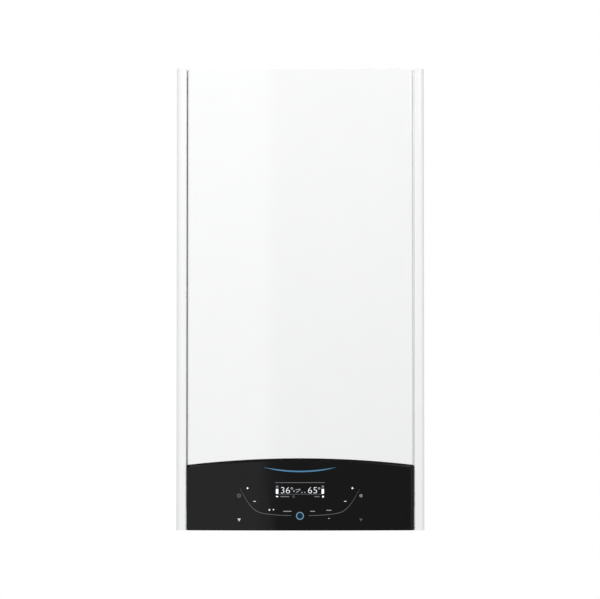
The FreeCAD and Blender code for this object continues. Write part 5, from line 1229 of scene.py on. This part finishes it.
def make_lamp(name, place, aim, size, power):
    data = bpy.data.lights.new(name, "AREA")
    data.shape = "DISK"
    data.size = size
    data.energy = power
    lamp = link(name, data)
    lamp.location = place
    lamp.rotation_euler = (Vector(place) - Vector(aim)).to_track_quat("Z", "Y").to_euler()


def make_world():
    """A soft pale room that the camera, gloss and clear pieces see as white."""
    world = bpy.data.worlds.new("room")
    bpy.context.scene.world = world
    world.use_nodes = True
    tree = world.node_tree
    tree.nodes.clear()
    path = tree.nodes.new("ShaderNodeLightPath")
    seen = path.outputs["Is Camera Ray"]
    for name in ("Is Glossy Ray", "Is Transmission Ray"):
        join = tree.nodes.new("ShaderNodeMath")
        join.operation = "MAXIMUM"
        tree.links.new(seen, join.inputs[0])
        tree.links.new(path.outputs[name], join.inputs[1])
        seen = join.outputs[0]
    room = tree.nodes.new("ShaderNodeBackground")
    room.inputs["Color"].default_value = ROOM_COLOUR
    room.inputs["Strength"].default_value = ROOM_STRENGTH
    white = tree.nodes.new("ShaderNodeBackground")
    white.inputs["Color"].default_value = WHITE
    mix = tree.nodes.new("ShaderNodeMixShader")
    out = tree.nodes.new("ShaderNodeOutputWorld")
    tree.links.new(seen, mix.inputs[0])
    tree.links.new(room.outputs[0], mix.inputs[1])
    tree.links.new(white.outputs[0], mix.inputs[2])
    tree.links.new(mix.outputs[0], out.inputs[0])


def make_sheet(name, size, shape, material):
    """A flat square of the studio, placed by a matrix."""
    bm = bmesh.new()
    bmesh.ops.create_grid(bm, x_segments=1, y_segments=1, size=size)
    bmesh.ops.transform(bm, matrix=shape, verts=bm.verts)
    mesh = bpy.data.meshes.new(name)
    bm.to_mesh(mesh)
    bm.free()
    mesh.materials.append(material)
    sheet = link(name, mesh)
    return sheet


def make_floor():
    glow = {"Emission Color": WHITE, "Emission Strength": FLOOR_GLOW}
    finish = Finish("floor_white", {"Roughness": FLOOR_ROUGH, **glow})
    base = finish.mix(finish.noise(FLOOR_PATCH), grey(FLOOR_DARK), grey(FLOOR_LIGHT))
    finish.feed(finish.shader.inputs["Base Color"], base)
    make_sheet("floor", FLOOR_HALF, Matrix.Translation((0, 0, FLOOR_LOW)), finish.material)


def card_light():
    """Light that is bright on the left part of a card and dim on the rest."""
    material = bpy.data.materials.new("card_light")
    material.use_nodes = True
    tree = material.node_tree
    tree.nodes.clear()
    place = tree.nodes.new("ShaderNodeTexCoord")
    parts = tree.nodes.new("ShaderNodeSeparateXYZ")
    fade = tree.nodes.new("ShaderNodeMapRange")
    fade.interpolation_type = "SMOOTHSTEP"
    fade.inputs["From Min"].default_value = CARD_EDGE - CARD_FADE
    fade.inputs["From Max"].default_value = CARD_EDGE + CARD_FADE
    fade.inputs["To Min"].default_value = CARD_BRIGHT
    fade.inputs["To Max"].default_value = CARD_DIM
    light = tree.nodes.new("ShaderNodeEmission")
    out = tree.nodes.new("ShaderNodeOutputMaterial")
    tree.links.new(place.outputs["Object"], parts.inputs[0])
    tree.links.new(parts.outputs["X"], fade.inputs["Value"])
    tree.links.new(fade.outputs["Result"], light.inputs["Strength"])
    tree.links.new(light.outputs[0], out.inputs["Surface"])
    return material


def make_card():
    """A wide card behind the camera that only gloss and clear pieces show."""
    wide, tall = CARD_HALF
    shape = Matrix.Translation((0, -CARD_REACH, 0)) @ Matrix.Diagonal((wide, 1, tall, 1))
    shape = shape @ Matrix.Rotation(radians(-90), 4, "X")
    card = make_sheet("card", 1, shape, card_light())
    card.visible_camera = False
    card.visible_diffuse = False
    card.visible_shadow = False


make_camera()
make_world()
make_floor()
make_card()
for lamp_row in LAMPS:
    make_lamp(*lamp_row)
bpy.context.scene.view_settings.view_transform = "Standard"
